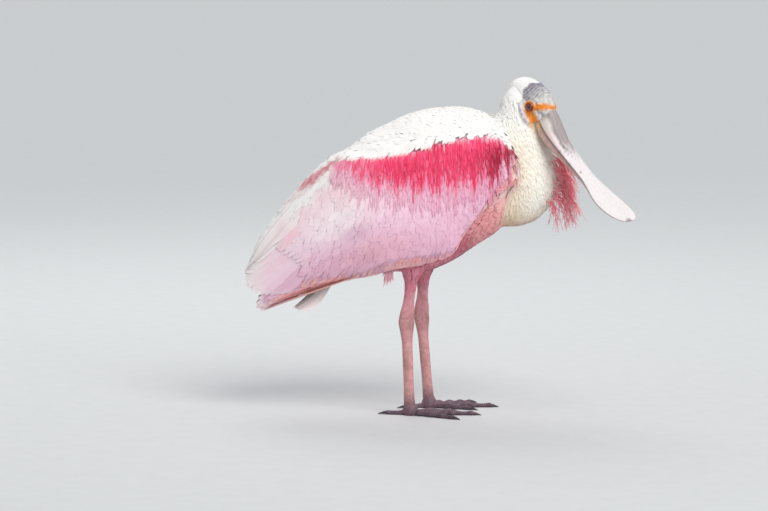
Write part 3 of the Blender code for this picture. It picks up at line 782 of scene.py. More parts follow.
def march(surface, roots, flow, lengths, rows):
    """Middle lines that follow the flow over a surface: points, normals and directions."""
    spots, normal = surface.nearest(roots)
    way = laid(flow(spots), normal)
    way = unit(way + np.cross(normal, way) * rng.normal(0, 0.10, (len(roots), 1)))
    lines = [[spots], [normal], [way]]
    for _ in range(rows - 1):
        spots, normal = surface.nearest(spots + way * (lengths / (rows - 1))[:, None])
        way = laid(unit(way * 0.7 + 0.3 * unit(flow(spots))), normal)
        for line, value in zip(lines, (spots, normal, way)):
            line.append(value)
    return [np.stack(line, axis=1) for line in lines]


SOFT_OUTLINE = (0.25, 0.72, 0.96, 1.0, 0.86, 0.30)
LONG_OUTLINE = (0.30, 0.75, 0.92, 1.0, 1.0, 0.98, 0.90, 0.58)
POINTED_OUTLINE = (0.35, 0.9, 1.0, 0.85, 0.55, 0.08)


def outline(shape, rows):
    return np.interp(np.linspace(0, 1, rows), np.linspace(0, 1, len(shape)), shape)


# Materials.


class Look:
    """A procedural material, node by node."""

    def __init__(self, name, roughness=0.6, **constants):
        self.material = bpy.data.materials.new(name)
        self.material.use_nodes = True
        self.tree = self.material.node_tree
        self.shader = self.tree.nodes["Principled BSDF"]
        self.shader.inputs["Roughness"].default_value = roughness
        for label, value in constants.items():
            self.shader.inputs[label.replace("_", " ")].default_value = value

    def feed(self, socket, value):
        if isinstance(value, bpy.types.NodeSocket):
            self.tree.links.new(value, socket)
        else:
            socket.default_value = value

    def node(self, kind, settings=(), **inputs):
        made = self.tree.nodes.new(kind)
        for label, value in dict(settings).items():
            setattr(made, label, value)
        for label, value in inputs.items():
            self.feed(made.inputs[label.replace("_", " ")], value)
        return made

    def math(self, operation, first, second=0.0, third=0.0):
        made = self.node("ShaderNodeMath", {"operation": operation})
        for socket, value in zip(made.inputs, (first, second, third)):
            self.feed(socket, value)
        return made.outputs[0]

    def blend(self, kind, share, first, second):
        made = self.node("ShaderNodeMix", {"data_type": "RGBA", "blend_type": kind})
        for number, value in ((0, share), (6, first), (7, second)):
            if isinstance(value, (tuple, list, np.ndarray)):
                value = (*[float(x) for x in value][:3], 1.0)
            self.feed(made.inputs[number], value)
        return made.outputs[2]

    def read(self, name):
        return self.node("ShaderNodeAttribute", {"attribute_name": name})

    def split(self, vector):
        return self.node("ShaderNodeSeparateXYZ", Vector=vector).outputs

    def place(self):
        return self.node("ShaderNodeTexCoord").outputs["Object"]

    def noise(self, scale, detail=3.0, rough=0.5):
        return self.node(
            "ShaderNodeTexNoise", Vector=self.place(), Scale=scale, Detail=detail, Roughness=rough
        ).outputs["Fac"]

    def cells(self, scale, feature="F1"):
        return self.node(
            "ShaderNodeTexVoronoi", {"feature": feature}, Vector=self.place(), Scale=scale
        ).outputs["Distance"]

    def between(self, value, low, high, to_low=0.0, to_high=1.0):
        return self.node(
            "ShaderNodeMapRange",
            Value=value,
            From_Min=low,
            From_Max=high,
            To_Min=to_low,
            To_Max=to_high,
        ).outputs["Result"]

    def tinted(self, shade, tint=None):
        """The colours of the piece's own points, times a grey shade."""
        tint = tint or self.read("tint")
        grey = self.node("ShaderNodeCombineColor", Red=shade, Green=shade, Blue=shade).outputs[0]
        return self.blend("MULTIPLY", 1.0, tint.outputs["Color"], grey)

    def finish(self, colour, height=None, distance=0.0002, strength=1.0, roughness=None):
        self.feed(self.shader.inputs["Base Color"], colour)
        if height is not None:
            bump = self.node("ShaderNodeBump", Height=height, Distance=distance, Strength=strength)
            self.feed(self.shader.inputs["Normal"], bump.outputs["Normal"])
        if roughness is not None:
            self.feed(self.shader.inputs["Roughness"], roughness)
        return self.material


def feather_look(name, barb, shaft, strength):
    """Plumage: the tint of each place, with barbs, a shaft and slight changes between feathers."""
    look = Look(name, Specular_IOR_Level=0.25, Sheen_Weight=0.12, Sheen_Roughness=0.5)
    tint = look.read("tint")
    across, _, phase = look.split(look.read("vane").outputs["Vector"])
    wave = look.math("SINE", look.math("MULTIPLY", phase, 2 * math.pi))
    edge = look.math("POWER", look.math("ABSOLUTE", across), 4.0)
    middle = look.between(look.math("ABSOLUTE", across), 0.0, 0.09, 1.0, 0.0)
    patches = look.noise(90.0, 3.0)
    shade = look.math("MULTIPLY_ADD", wave, barb, 0.97)
    shade = look.math("MULTIPLY_ADD", middle, shaft, shade)
    shade = look.math("MULTIPLY_ADD", edge, 0.03, shade)
    for value, share in ((tint.outputs["Alpha"], 0.05), (patches, 0.08)):
        shade = look.math("MULTIPLY_ADD", look.math("SUBTRACT", value, 0.5), share, shade)
    height = look.math("MULTIPLY_ADD", wave, 0.5, look.math("MULTIPLY", middle, 1.6))
    rough = look.between(patches, 0.3, 0.7, 0.62, 0.8)
    return look.finish(look.tinted(shade, tint), height, 0.00022, strength, rough)


def make_looks():
    skin = Look("skin", Specular_IOR_Level=0.35)
    tint = skin.read("tint")
    fine = skin.noise(900.0, 5.0, rough=0.62)
    coarse = skin.noise(260.0, 4.0)
    creases = skin.cells(1150.0, "DISTANCE_TO_EDGE")
    crease = skin.between(creases, 0.0, 0.22, 0.0, 1.0)
    mottle = skin.between(coarse, 0.36, 0.66, 0.74, 1.12)
    mottle = skin.math("MULTIPLY", mottle, skin.between(crease, 0.0, 1.0, 0.92, 1.02))
    bare = tint.outputs["Alpha"]
    mottle = skin.math("MULTIPLY_ADD", skin.math("SUBTRACT", mottle, 1.0), bare, 1.0)
    height = skin.math("ADD", skin.math("MULTIPLY", crease, 0.3), fine)
    rough = skin.between(coarse, 0.3, 0.7, 0.5, 0.68)
    skin.finish(skin.tinted(mottle, tint), height, 0.0003, 0.8, rough)

    leg = Look("leg_scales", Specular_IOR_Level=0.4)
    fine = leg.noise(1100.0, 4.0, rough=0.6)
    coarse = leg.noise(220.0, 3.0)
    shade = leg.between(coarse, 0.35, 0.65, 0.84, 1.10)
    shade = leg.math("MULTIPLY", shade, leg.between(fine, 0.3, 0.7, 0.93, 1.05))
    rough = leg.between(coarse, 0.3, 0.7, 0.46, 0.62)
    leg.finish(leg.tinted(shade), fine, 0.0002, 0.5, rough)

    claw = Look("claw_horn", Specular_IOR_Level=0.5)
    grain = claw.noise(500.0, 4.0)
    shade = claw.between(grain, 0.3, 0.7, 0.7, 1.25)
    rough = claw.between(grain, 0.3, 0.7, 0.3, 0.45)
    claw.finish(claw.tinted(shade), grain, 0.0001, 0.5, rough)

    bill = Look("bill_horn", Specular_IOR_Level=0.45)
    grain = bill.noise(240.0, 5.0, rough=0.6)
    specks = bill.noise(620.0, 2.0)
    pits = bill.between(bill.cells(520.0), 0.08, 0.30, 0.0, 1.0)
    shade = bill.between(grain, 0.35, 0.65, 0.93, 1.04)
    shade = bill.math("MULTIPLY", shade, bill.between(specks, 0.24, 0.34, 0.86, 1.0))
    height = bill.math("MULTIPLY_ADD", pits, 0.35, grain)
    rough = bill.between(grain, 0.3, 0.7, 0.38, 0.56)
    bill.finish(bill.tinted(shade), height, 0.00025, 0.6, rough)

    eye = Look("eye", Coat_Weight=1.0, Coat_Roughness=0.02, Specular_IOR_Level=0.5)
    fibres = eye.noise(1500.0, 3.0)
    eye.finish(eye.tinted(eye.between(fibres, 0.3, 0.7, 0.7, 1.3)), roughness=0.12)

    return {
        "soft": feather_look("soft_plumage", 0.02, 0.0, 0.35),
        "vane": feather_look("wing_plumage", 0.016, 0.035, 0.4),
        "skin": skin.material,
        "leg": leg.material,
        "claw": claw.material,
        "bill": bill.material,
        "eye": eye.material,
    }


looks = make_looks()


# Forms that the coat lies on.


def torso_tube():
    angle = ring_angles(48)
    return tube([torso_surface(s, angle) for s in np.linspace(-106, 200, 62)])


def wing_block(side, last, inner):
    """A closed form under one wing's face. inner gives how deep it goes at each station."""
    rings = []
    v = np.linspace(0, 1, 26)
    for s in np.linspace(WING_FIRST, last, 74):
        face = wing_surface(s, v, side)
        _, _, y = body_place(face)
        back = face.copy()
        back[:, 1] = side * np.maximum(np.abs(y) - inner(s), 0.0)
        rings.append(np.concatenate([face, back[::-1]]))
    return turned_over(*tube(rings), side < 0)


# Rump: station, height of its middle, half height, half width.
RUMP = (
    (50, 66, 14, 30), (80, 76, 12, 27), (105, 80, 10.5, 21), (125, 79, 9.5, 15), (150, 72, 9, 12),
    (175, 60, 9, 10), (200, 47, 8, 8), (225, 34, 6, 5),
)


def rump_tube():
    """Fills the hollow between the wings' upper edges, so that the back is one surface."""
    angle = ring_angles(24)
    rings = []
    for s in np.linspace(50, 225, 40):
        middle, tall, wide = smooth_table(RUMP, s)
        rings.append(body_point(s, middle + tall * np.sin(angle), wide * np.cos(angle)))
    return tube(rings)


def neck_tube():
    angle = ring_angles(40)
    return tube([neck_surface(z, angle) for z in np.linspace(230, 402, 56)])


def skull_tube(inset=0.0):
    angle = ring_angles(40)
    stations = np.linspace(-32, 35.5, 34)
    rings = [skull_surface(x, angle) for x in stations]
    middle = head_point(stations, 0, 0)
    return tube([m + (r - m) * (1 - inset / 18) for m, r in zip(middle, rings)])


def leg_points(side):
    foot = FOOT_PLACE[side]
    ankle = foot + (0, 0, ANKLE)
    hock = foot + (HOCK_SHIFT[side], 0, HOCK)
    knee = foot + (KNEE_SHIFT[side], 0, KNEE)
    return ankle, hock, knee


def limb_tube(stations, count=24):
    angle = ring_angles(count)
    rings = []
    for place, depth, width in stations:
        ring = np.stack([np.cos(angle) * depth, np.sin(angle) * width, 0 * angle], axis=1)
        rings.append(np.asarray(place) + ring)
    return tube(rings)


def shaft(low, high, form, shares, inset=0.0):
    """Stations of a limb between two places, from its form: (share, depth, width) rows."""
    stations = []
    for share in shares:
        depth, width = smooth_table(form, share)
        stations.append((low + (high - low) * share, depth - inset, width - inset))
    return stations


THIGH_FORM = (
    (0.25, 7.3, 5.6), (0.45, 7.6, 5.9), (0.60, 8.7, 7.8), (0.70, 12, 11), (0.86, 18, 15),
    (1.04, 22, 17), (1.20, 17, 12.5),
)


def thigh_tube(side, first):
    _, hock, knee = leg_points(side)
    return limb_tube(shaft(hock, knee, THIGH_FORM, np.linspace(first, 1.20, 12)))


def tail_tube():
    angle = ring_angles(20)
    rings = []
    for u, width, height in ((0, 14, 9), (18, 14, 7), (36, 12, 4.4), (46, 9, 2.4)):
        rings.append(
            TAIL_ROOT
            + TAIL_BACK * u
            + np.outer(np.cos(angle) * height, TAIL_UP)
            + np.outer(np.sin(angle) * width, LEFTWARD)
        )
    return tube(rings)


def scapular_line(s):
    """The height on the wing at which the white back feathers end."""
    return np.where(s < 90, read(CARMINE_TOP, s), read(WHITE_EDGE, s))


def eased(points, faces, rounds):
    """The mesh with the creases at the neck's foot and along the rump filled by smoothing."""
    share = neck_share(points)
    z = points[:, 2]
    weight = np.maximum(share * (1 - share) * 4, near(neck_gap(points), 1.12, 0.30))
    weight = np.clip(weight, 0, 1) * step(236, 262, z) * step(408, 396, z)
    s, t, y = body_place(points)
    rump = step(60, 95, s) * step(235, 205, s) * step(34, 22, np.abs(y))
    weight = np.maximum(weight, rump * step(-24, -10, t - scapular_line(s)))
    ends = np.concatenate([faces[:, [k, (k + 1) % 4]] for k in range(4)])
    one, other = np.concatenate([ends, ends[:, ::-1]]).T
    total = np.bincount(one, minlength=len(points))[:, None]
    for _ in range(rounds):
        sums = [np.bincount(one, points[other, axis], len(points)) for axis in range(3)]
        points = points + 0.6 * weight[:, None] * (np.stack(sums, axis=1) / total - points)
    return points, faces


def both(form, *details):
    """A form on the left side and on the right."""
    return [form(side, *details) for side in (1, -1)]


whole_wings = both(wing_block, WING_LAST, lambda s: 80)
whole_parts = [torso_tube(), *whole_wings, neck_tube(), skull_tube(), rump_tube()]
whole = Surface(*eased(*remeshed(whole_parts, WHOLE_VOXEL, 5), 40))
core_parts = [torso_tube(), neck_tube(), *both(thigh_tube, 0.28), tail_tube()]
core = Surface(*remeshed(core_parts, CORE_VOXEL, 5))


def wing_depth(points):
    """How far a point is inside (positive) the outer face of the wing beside it, or -99."""
    s, t, y = body_place(points)
    top, top_y, _, widest, bottom, bottom_y = profile(WING, s)
    v = wing_share(s, t)
    edge_y = np.where(v < 0.5, top_y, bottom_y)
    face_y = edge_y + (widest - edge_y) * np.sin(v * math.pi)
    inside = (s > -97) & (s < 273) & (t < top + 1) & (t > bottom - 1)
    return np.where(inside, face_y - np.abs(y), -99)


def coat_colour(points):
    """The markings of the whole bird below its head, with the painted shade from wing_colour and
    neck_colour, for the skin and the coat alike.
    """
    s, t, y = body_place(points)
    colour = body_colour(points)
    depth = wing_depth(points)
    on_wing = step(14, 9, np.abs(depth)) * step(3, -1, t - scapular_line(s))
    marks = wing_colour(points)
    marks = mix(marks, CARMINE, carmine_share(s, t))
    colour = mix(colour, marks, on_wing * (1 - neck_share(points)))
    return np.where(((s > 90) & (np.abs(y) > 5.5))[..., None], red_streak(colour, s, t), colour)


# Head: edge of the bare face, as (degrees from the crown, place along the head), and the arc
# under the cheek, as (place along the head, height).
BARE_EDGE = (
    (0, -4.8), (28, -7.4), (44, -6.2), (62, -4), (82, 0.7), (95, 3.5), (108, 5), (120, 13),
    (127, 20), (134, 26), (143, 33), (180, 38),
)
CHEEK_ARC = (
    (-4, -1), (2, -4.5), (7, -8.7), (18, -14.6), (27, -18.0), (31, -19.0), (37, -21.5), (44, -25),
)


def cheek_share(points):
    """1 on the bare cheek, where the head's skin spreads over the side of the neck."""
    x, y, z = head_place(points)
    x = x + 0.6 * np.sin(z * 1.1) + 0.4 * np.sin(z * 2.7 + x)
    z = z + 0.5 * np.sin(x * 0.9) + 0.4 * np.sin(x * 2.3 + 1)
    inside = step(-1.2, 1.2, z - read(CHEEK_ARC, x)) * step(1, 5, x) * step(43, 39, x)
    return inside * step(7, 10, np.abs(y)) * step(34, 30, np.abs(y)) * step(4, 0, z)


def by_head(points):
    """Whether points are so near the head that its own feathers cover them."""
    x, y, z = head_place(points)
    return ((np.hypot(y, z) < 24.5) & (x > -33) & (x < 36)) | (cheek_share(points) > 0.35)


def segment_distance(points, first, last):
    first, last = np.asarray(first, float), np.asarray(last, float)
    line = last - first
    share = np.clip((points - first) @ line / (line @ line), 0, 1)
    return np.linalg.norm(points - first - share[..., None] * line, axis=-1)


def head_marks(points):
    """Colour of the head and how bare it is, 1 for bare skin and 0 for feathers."""
    x, y, z = head_place(points)
    angle = np.degrees(np.arctan2(np.abs(y), z))
    edge = read(BARE_EDGE, angle) + 0.9 * np.sin(angle * 0.19) + 0.5 * np.sin(angle * 0.61 + x)
    edge = edge + 0.8 * np.sin(angle * 1.9 + x * 1.1) + 0.6 * np.sin(angle * 3.7 - x * 2)
    bare = step(-1.6, 1.6, x - edge)
    near_side = np.stack([x, np.abs(y), z], axis=-1)
    eye = EYE_PLACE + (0.4, 2.4, 0.6)
    ring = np.linalg.norm((near_side - eye) / (1.12, 1, 1), axis=-1)
    strip = np.minimum(
        segment_distance(near_side, eye + (4, -1, 2), (29, 10.5, 13)),
        segment_distance(near_side, (29, 10.5, 13), (34.6, 0, 15.6)) + 1.2,
    )
    lobe = segment_distance(near_side, eye + (2, 0, -5), (30, 15, -8)) - 1.8
    flap = segment_distance(near_side, (31, 15, -11), (36, 16, -18))
    wobble = 0.45 * np.sin(x * 1.3 + z) + 0.35 * np.sin(z * 1.7 - x * 0.6)
    waves = np.sin(x * 1.7 + 1.5 * np.sin(angle * 0.10) + 0.7 * np.sin(x * 0.6 + angle * 0.05))
    lines = 0.5 + 0.5 * waves
    blots = 0.5 + 0.5 * np.sin(x * 0.9 + angle * 0.09) * np.sin(angle * 0.16 - x * 0.35)
    folds = lines**2 * (0.2 + blots) * step(26, 2, x) * step(92, 74, angle)
    arc = z - read(CHEEK_ARC, x) - 1.6
    band = near(arc + wobble, 0, 3.6) * step(1, 5, x) * step(34, 24, x)
    orange = np.maximum(near(ring + wobble, 2, 7.6), near(strip + wobble, 0, 7.0))
    orange = np.maximum(orange, near(lobe + wobble, 0, 6.2))
    lore = segment_distance(near_side, (26, 14, 3), (36, 12.5, 4.5))
    colour = paint(
        CROWN_DARK,
        (CROWN, step(-6, 10, x + 0.06 * (angle - 60))),
        (srgb(216, 214, 209), step(8, 24, x) * step(78, 52, angle)),
        (srgb(96, 88, 104), 0.8 * folds),
        (srgb(126, 116, 132), 0.5 * near(x, edge, 5) * step(100, 84, angle)),
        (CHEEK, step(80, 100, angle) * 0.9),
        (srgb(150, 142, 158), 0.85 * band * step(12, 16, np.abs(y))),
        (YELLOW, 0.95 * near(flap + wobble, 0, 8.5)),
        (ORANGE, np.clip(orange * 1.5, 0, 1)),
        (srgb(206, 96, 34), 0.5 * near(ring, 5.6, 1.6)),
        (srgb(204, 200, 194), 0.85 * near(lore + 0.5 * wobble, 0, 3.6)),
    )
    return colour, bare


# Rings that close the head behind: (share of its width, distance out).
REAR_CAP = ((0.06, 1.6), (0.35, 1.5), (0.6, 1.2), (0.8, 0.7), (0.93, 0.3))


def head_skin():
    """The head at a fine grain: brow, lids, cheek folds and wrinkles in the mesh itself."""
    rows, count = 150, 220
    x = np.linspace(-32, 37.5, rows)
    angle = ring_angles(count)
    at_x, at_angle = np.meshgrid(x, angle, indexing="ij")
    points = skull_surface(at_x, at_angle)
    heart = points[0].mean(axis=0)
    caps = [heart + (points[0] - heart) * share - FORWARD * out for share, out in REAR_CAP]
    points = np.concatenate([caps, points])
    rows += len(REAR_CAP)
    faces = ring_faces(rows, count)[:, TURNED]
    flat = points.reshape(-1, 3)
    normal = -vertex_normals(flat, faces)
    faces = faces[:, ::-1]
    hx, hy, hz = head_place(flat)
    near_side = np.stack([hx, np.abs(hy), hz], axis=-1)
    degrees = np.degrees(np.arctan2(np.abs(hy), hz))
    eye = EYE_PLACE + (0.4, 2.0, 0.3)
    gap = np.linalg.norm(near_side - eye, axis=-1)
    _, bare = head_marks(flat)
    rise = np.zeros(len(flat))
    rise += 0.9 * near(gap, 6.6, 2.6) - 0.5 * near(gap, 9.6, 2.2)
    rise -= 4.2 * step(5.2, 3.6, gap)
    brow = segment_distance(near_side, (8, 14.5, 10), (29, 11.5, 11.5))
    rise += 0.9 * near(brow, 0, 4.5)
    lore = segment_distance(near_side, (25, 14, 3), (36, 12.5, 4))
    rise -= 1.1 * near(lore, 0, 4.5)
    cheek = segment_distance(near_side, (6, 18, -9), (31, 12.4, -8.5))
    rise += 0.7 * near(cheek, 0, 5) - 0.8 * near(cheek, 5.6, 1.6) * step(-2, 6, hx)
    fold = segment_distance(near_side, (-2, 18.1, -9.2), (4.5, 13.5, -17))
    rise -= 0.8 * near(fold, 0, 2.2)
    flap = segment_distance(near_side, (30, 13, -8), (23, 12, -15))
    rise += 0.8 * near(flap, 0, 4) - 0.7 * near(flap, 5, 1.6)
    ear = np.linalg.norm((near_side - (-4, 19.5, -7.5)) / (1.5, 1, 1), axis=-1)
    rise -= 1.4 * near(ear, 0, 2.4)
    drift = 1.4 * np.sin(degrees * 0.13)
    wrinkle = np.sin(hx * 2.9 + drift + 0.8 * np.sin(hx * 0.7 + degrees * 0.05))
    rise += 0.16 * bare * wrinkle * step(100, 60, degrees)
    cross = np.sin(degrees * 0.42 + 1.1 * np.sin(hx * 0.8))
    rise += 0.12 * bare * cross * step(110, 50, degrees)
    pouch = np.sin(np.abs(hy) * 2.4 + 0.6 * np.sin(hx * 0.5))
    rise += 0.18 * pouch * step(140, 160, degrees) * step(5, 14, hx)
    rise -= 0.5 * (1 - bare) + 0.25
    rise -= 0.7 * step(35.0, 37.5, hx)
    flat = flat + normal * rise[:, None]
    colour, bare = head_marks(flat)
    # Painted shade and light on the bare skin: darker where the skin sinks in and in the troughs
    # of the wrinkles, lighter on their crests.
    shade = 1 - 0.22 * np.clip(-rise * bare, 0, 1) + 0.25 * np.clip(wrinkle * 0.2, -1, 1) * bare
    colour = paint(
        colour * np.clip(shade, 0.3, 1.15)[:, None],
        (srgb(60, 30, 20), step(5.4, 4.4, gap)),
        (srgb(120, 104, 104), 0.8 * near(ear, 0, 2.2)),
    )
    colour = mix(WHITE, colour, bare)
    ends = [list(range(count)), list(range(len(flat) - count, len(flat)))[::-1]]
    tint = np.concatenate([np.clip(colour, 0, 1), bare[:, None]], axis=1)
    return flat, faces.tolist() + ends, tint


def eye_axes(side):
    """The middle of an eye, the way it looks, and the two axes across it."""
    outward = unit(HEAD_LEFT * side + FORWARD * 0.24 + HEAD_UP * 0.10)
    first = unit(np.cross(HEAD_UP, outward))
    return head_point(*(EYE_PLACE * (1, side, 1))), outward, first, np.cross(outward, first)


# Rolls of skin round the eye: radius, thickness, distance out, and height by width.
LIDS = ((4.85, 0.5, 3.95, 0.88), (5.8, 0.6, 3.4, 0.93), (6.8, 0.6, 2.6, 0.97))


def lid_rings(side):
    """The lids: fine rolls of skin round the eye."""
    centre, outward, first, second = eye_axes(side)
    around, tube_count = 72, 10
    turn, roll = ring_angles(around), ring_angles(tube_count)
    faces = ring_faces(around, tube_count, closed=True)[:, TURNED].tolist()
    parts = []
    for radius, thick, out, squeeze in LIDS:
        ripple = 1 + 0.10 * np.sin(turn * 17 + radius * 3) + 0.07 * np.sin(turn * 29 + radius)
        wide = radius + thick * np.cos(roll)[None, :] * ripple[:, None]
        flat = np.cos(turn)[:, None] * first + (np.sin(turn) * squeeze)[:, None] * second
        points = (
            centre
            + outward * out
            + wide[..., None] * flat[:, None]
            + (thick * np.sin(roll)[None, :] * ripple[:, None])[..., None] * outward
        )
        colour = srgb(236, 138, 44) if radius > 5 else srgb(120, 44, 26)
        tint = np.tile(np.append(colour, 1.0), (around * tube_count, 1))
        parts.append((*turned_over(points.reshape(-1, 3), faces, side < 0), tint))
    return parts


SKIN_NODES = (
    "torso", "neck_lower", "neck_upper", "head", "wing_left", "wing_right", "tail", "thigh_left",
    "thigh_right",
)


def make_skin():
    """One skin for the body, wings, neck and head, and the head's own surface."""
    parts = [
        torso_tube(),
        *both(wing_block, 206, lambda s: 6 + 10 * step(150, 60, s)),
        neck_tube(),
        rump_tube(),
        skull_tube(1.4),
        *both(thigh_tube, 0.64),
        tail_tube(),
    ]
    points, faces = eased(*remeshed(parts, SKIN_VOXEL, 6), 60)
    normal = vertex_normals(points, faces)
    s = body_place(points)[0]
    hx, hy, hz = head_place(points)
    on_head = step(30, 24, np.sqrt(hy**2 + hz**2)) * step(-36, -28, hx)
    depth = 3.4 - 0.8 * neck_share(points)
    depth = depth * (1 - on_head) + 0.6 * on_head
    depth = np.where(points[:, 2] < 205, np.minimum(depth, 2.2), depth)
    depth = np.where(s > 150, np.minimum(depth, 2.0), depth)
    points = points - normal * depth[:, None]
    cheek = cheek_share(points)
    fold = near(read(CHEEK_ARC, hx) + 1.2 - hz, 0, 1.4) * step(2, 8, hx) * (np.abs(hy) > 12)
    rise = cheek * (1.9 + 0.25 * np.sin(hx * 1.7 + hz * 0.8)) - 1.0 * fold
    points = points + normal * rise[:, None]
    colour = mix(coat_colour(points), head_marks(points)[0], cheek)
    tint = np.concatenate([colour, cheek[:, None]], axis=1)
    head = head_skin()
    parts = [(points, faces.tolist(), tint), head, *lid_rings(1), *lid_rings(-1)]
    points, faces = joined([part[:2] for part in parts])
    tint = np.concatenate([part[2] for part in parts])
    skin = put("skin", points, faces, looks["skin"], tint, replaced=SKIN_NODES)
    bpy.context.view_layer.objects.active = skin
    skin.select_set(True)
    bpy.ops.object.mode_set(mode="EDIT")
    bpy.ops.mesh.select_all(action="SELECT")
    bpy.ops.uv.smart_project(angle_limit=math.radians(70), island_margin=0.001)
    bpy.ops.object.mode_set(mode="OBJECT")
    skin.select_set(False)
    skin.data.uv_layers[0].name = "OFBake"
    head_quads = np.array([face for face in head[1] if len(face) == 4])
    return skin, Surface(head[0], head_quads)


skin, head_surface = make_skin()


class Unwrap:
    """Reads the skin's own unwrap at the place on the skin nearest to each root."""

    def __init__(self, skin):
        mesh = skin.data
        self.points = mesh_points(mesh)
        self.faces = [tuple(face.vertices) for face in mesh.polygons]
        self.starts = [face.loop_start for face in mesh.polygons]
        self.tree = BVHTree.FromPolygons(self.points.tolist(), self.faces)
        uv = np.empty(len(mesh.loops) * 2, np.float32)
        mesh.uv_layers["OFBake"].uv.foreach_get("vector", uv)
        self.uv = uv.reshape(-1, 2)

    def __call__(self, roots):
        made = np.empty((len(roots), 2))
        for number, root in enumerate(((roots + SHIFT) * MM).tolist()):
            spot, _, index, _ = self.tree.find_nearest(root)
            corners = self.faces[index][:4]
            gap = ((self.points[list(corners)] - np.array(spot)) ** 2).sum(1)
            weight = 1 / (gap + 1e-10)
            start = self.starts[index]
            uv = self.uv[start : start + len(corners)]
            made[number] = (uv * weight[:, None]).sum(0) / weight.sum()
        return made


unwrap = Unwrap(skin)


# The coat.


def form_of(columns, thickness, cup, roll, sweep, ragged, pitch):
    """The form of one kind of feather, as feathers() takes it."""
    return {
        "columns": columns,
        "thickness": thickness,
        "cup": cup,
        "roll": roll,
        "sweep": sweep,
        "ragged": ragged,
        "pitch": pitch,
    }


BODY_FORM = form_of(5, 0.16, 0.16, 0.14, 0.45, 0.16, 1.3)
PLUME_FORM = form_of(3, 0.15, 0.25, 0.12, 0.3, 0.12, 0.9)
WING_FORM = form_of(5, 0.16, 0.06, 0.11, 0.50, 0.04, 1.1)
DRIP_FORM = form_of(3, 0.22, 0.30, 0.16, 0.2, 0.10, 1.2)
CURL_FORM = form_of(3, 0.35, 0.2, 0.0, 0.0, 0.0, 1.0)
QUILL_FORM = form_of(11, 0.35, 0.08, 0.26, 0.7, 0.012, 1.3)


def row_colour(colour_of, lines, root_share):
    """Colours along each feather: part from its root and part from where each row lies."""
    here = colour_of(lines.reshape(-1, 3)).reshape(lines.shape)
    root = here[:, :1]
    noise = rng.normal(0, 0.018, (len(lines), 1, 1))
    return np.clip(here * (1 - root_share) + root * root_share + noise, 0, 1)


def body_feathers(coat, surface, roots, flow, lengths, widths, depth, colour_of, form=BODY_FORM,
                  rows=6, shape=SOFT_OUTLINE, root_share=0.5, top=0.0, flare=0.0):
    """Small feathers over a surface, each rising from under those ahead of it."""
    lines, normal, way = march(surface, roots, flow, lengths, rows)
    u = np.linspace(0, 1, rows)
    half = np.outer(widths, outline(shape, rows))
    lift = -depth * (1 - u[None]) ** 1.2 + top + flare * u[None] ** 2
    lift = lift + rng.uniform(-0.07, 0.07, (len(roots), 1))
    colour = row_colour(colour_of, lines, root_share)
    feathers(coat, lines, normal, way, half, lift, colour, form, roots)


def side_way(angle):
    """A direction in the body's own plane, an angle below straight back."""
    return math.cos(angle) * BACKWARD - math.sin(angle) * UPWARD


LEVEL_BACK = np.array([-1.0, 0.0, 0.0])


def back_flow(points):
    s, t, y = body_place(points)
    level = step(100, 10, s)[:, None]
    outer = step(20, 40, np.abs(y))[:, None]
    behind = side_way(math.radians(21)) * outer + BACKWARD * (1 - outer)
    flow = unit(level * LEVEL_BACK + (1 - level) * behind)
    border = near(t - scapular_line(s), -2, 22) * step(104, 84, s) * step(24, 34, np.abs(y))
    return unit(flow * (1 - border[:, None]) + side_way(math.radians(56)) * border[:, None])


def back_colour(points):
    """The markings, with white feathers reaching a little over the carmine."""
    s, t, _ = body_place(points)
    colour = coat_colour(points)
    white = step(-7, -1, t - scapular_line(s)) * step(100, 84, s) * (1 - neck_share(points))
    return mix(colour, WHITE, white)


def make_back():
    """White feathers of the mantle, scapulars and tertials, over the top of the body and wings."""
    coat = Coat("coat_back")
    roots = whole.scatter(BACK_TRIES)
    s, t, _ = body_place(roots)
    ragged = 1.8 + 4 * step(100, 80, s) + 2.5 * np.sin(s * 0.23) + 1.5 * np.sin(s * 0.57)
    keep = (t > scapular_line(s) + ragged) & (s > -101) & (s < 252) & (neck_share(roots) < 0.55)
    keep &= ~by_head(roots)
    roots, s, t = roots[keep], s[keep], t[keep]
    gaps = 3.2 + 2.0 * step(-60, 150, s)
    gaps = gaps * (1 - 0.5 * near(t - scapular_line(s), 0, 16) * step(104, 88, s))
    picked = spaced(roots, gaps)
    roots, s, t = roots[picked], s[picked], t[picked]
    lengths = read(((-101, 13), (-60, 17), (0, 23), (80, 32), (150, 42), (220, 40), (252, 22)), s)
    lengths = np.minimum(lengths * rng.uniform(0.85, 1.15, len(s)), 272 - s)
    widths = (3.6 + 3.6 * step(-80, 160, s)) * rng.uniform(0.85, 1.15, len(s))
    border = near(t - scapular_line(s), 0, 16) * step(104, 88, s)
    lengths = lengths * (1 - 0.4 * border)
    widths = widths * (1 - 0.6 * border)
    body_feathers(coat, whole, roots, back_flow, lengths, widths, 0.9, back_colour, rows=7,
                  form=dict(BODY_FORM, cup=0.12, roll=0.05, ragged=0.10), root_share=0.2,
                  top=0.1 + 0.55 * border[:, None])
    coat.put(looks["soft"], "white_plumage")


def neck_flow(points):
    z = points[:, 2]
    centre = profile(NECK, np.clip(z, NECK_LOW, NECK_HIGH))[0]
    out = np.stack([points[:, 0] - centre, points[:, 1], 0 * z], axis=1)
    low = step(262, 236, z)[:, None]
    rear = step(0, -25, points[:, 0] - centre)[:, None] * step(330, 290, z)[:, None]
    return unit(DOWN + 0.55 * rear * LEVEL_BACK - 0.9 * low * unit(out) + 0.4 * low * LEVEL_BACK)


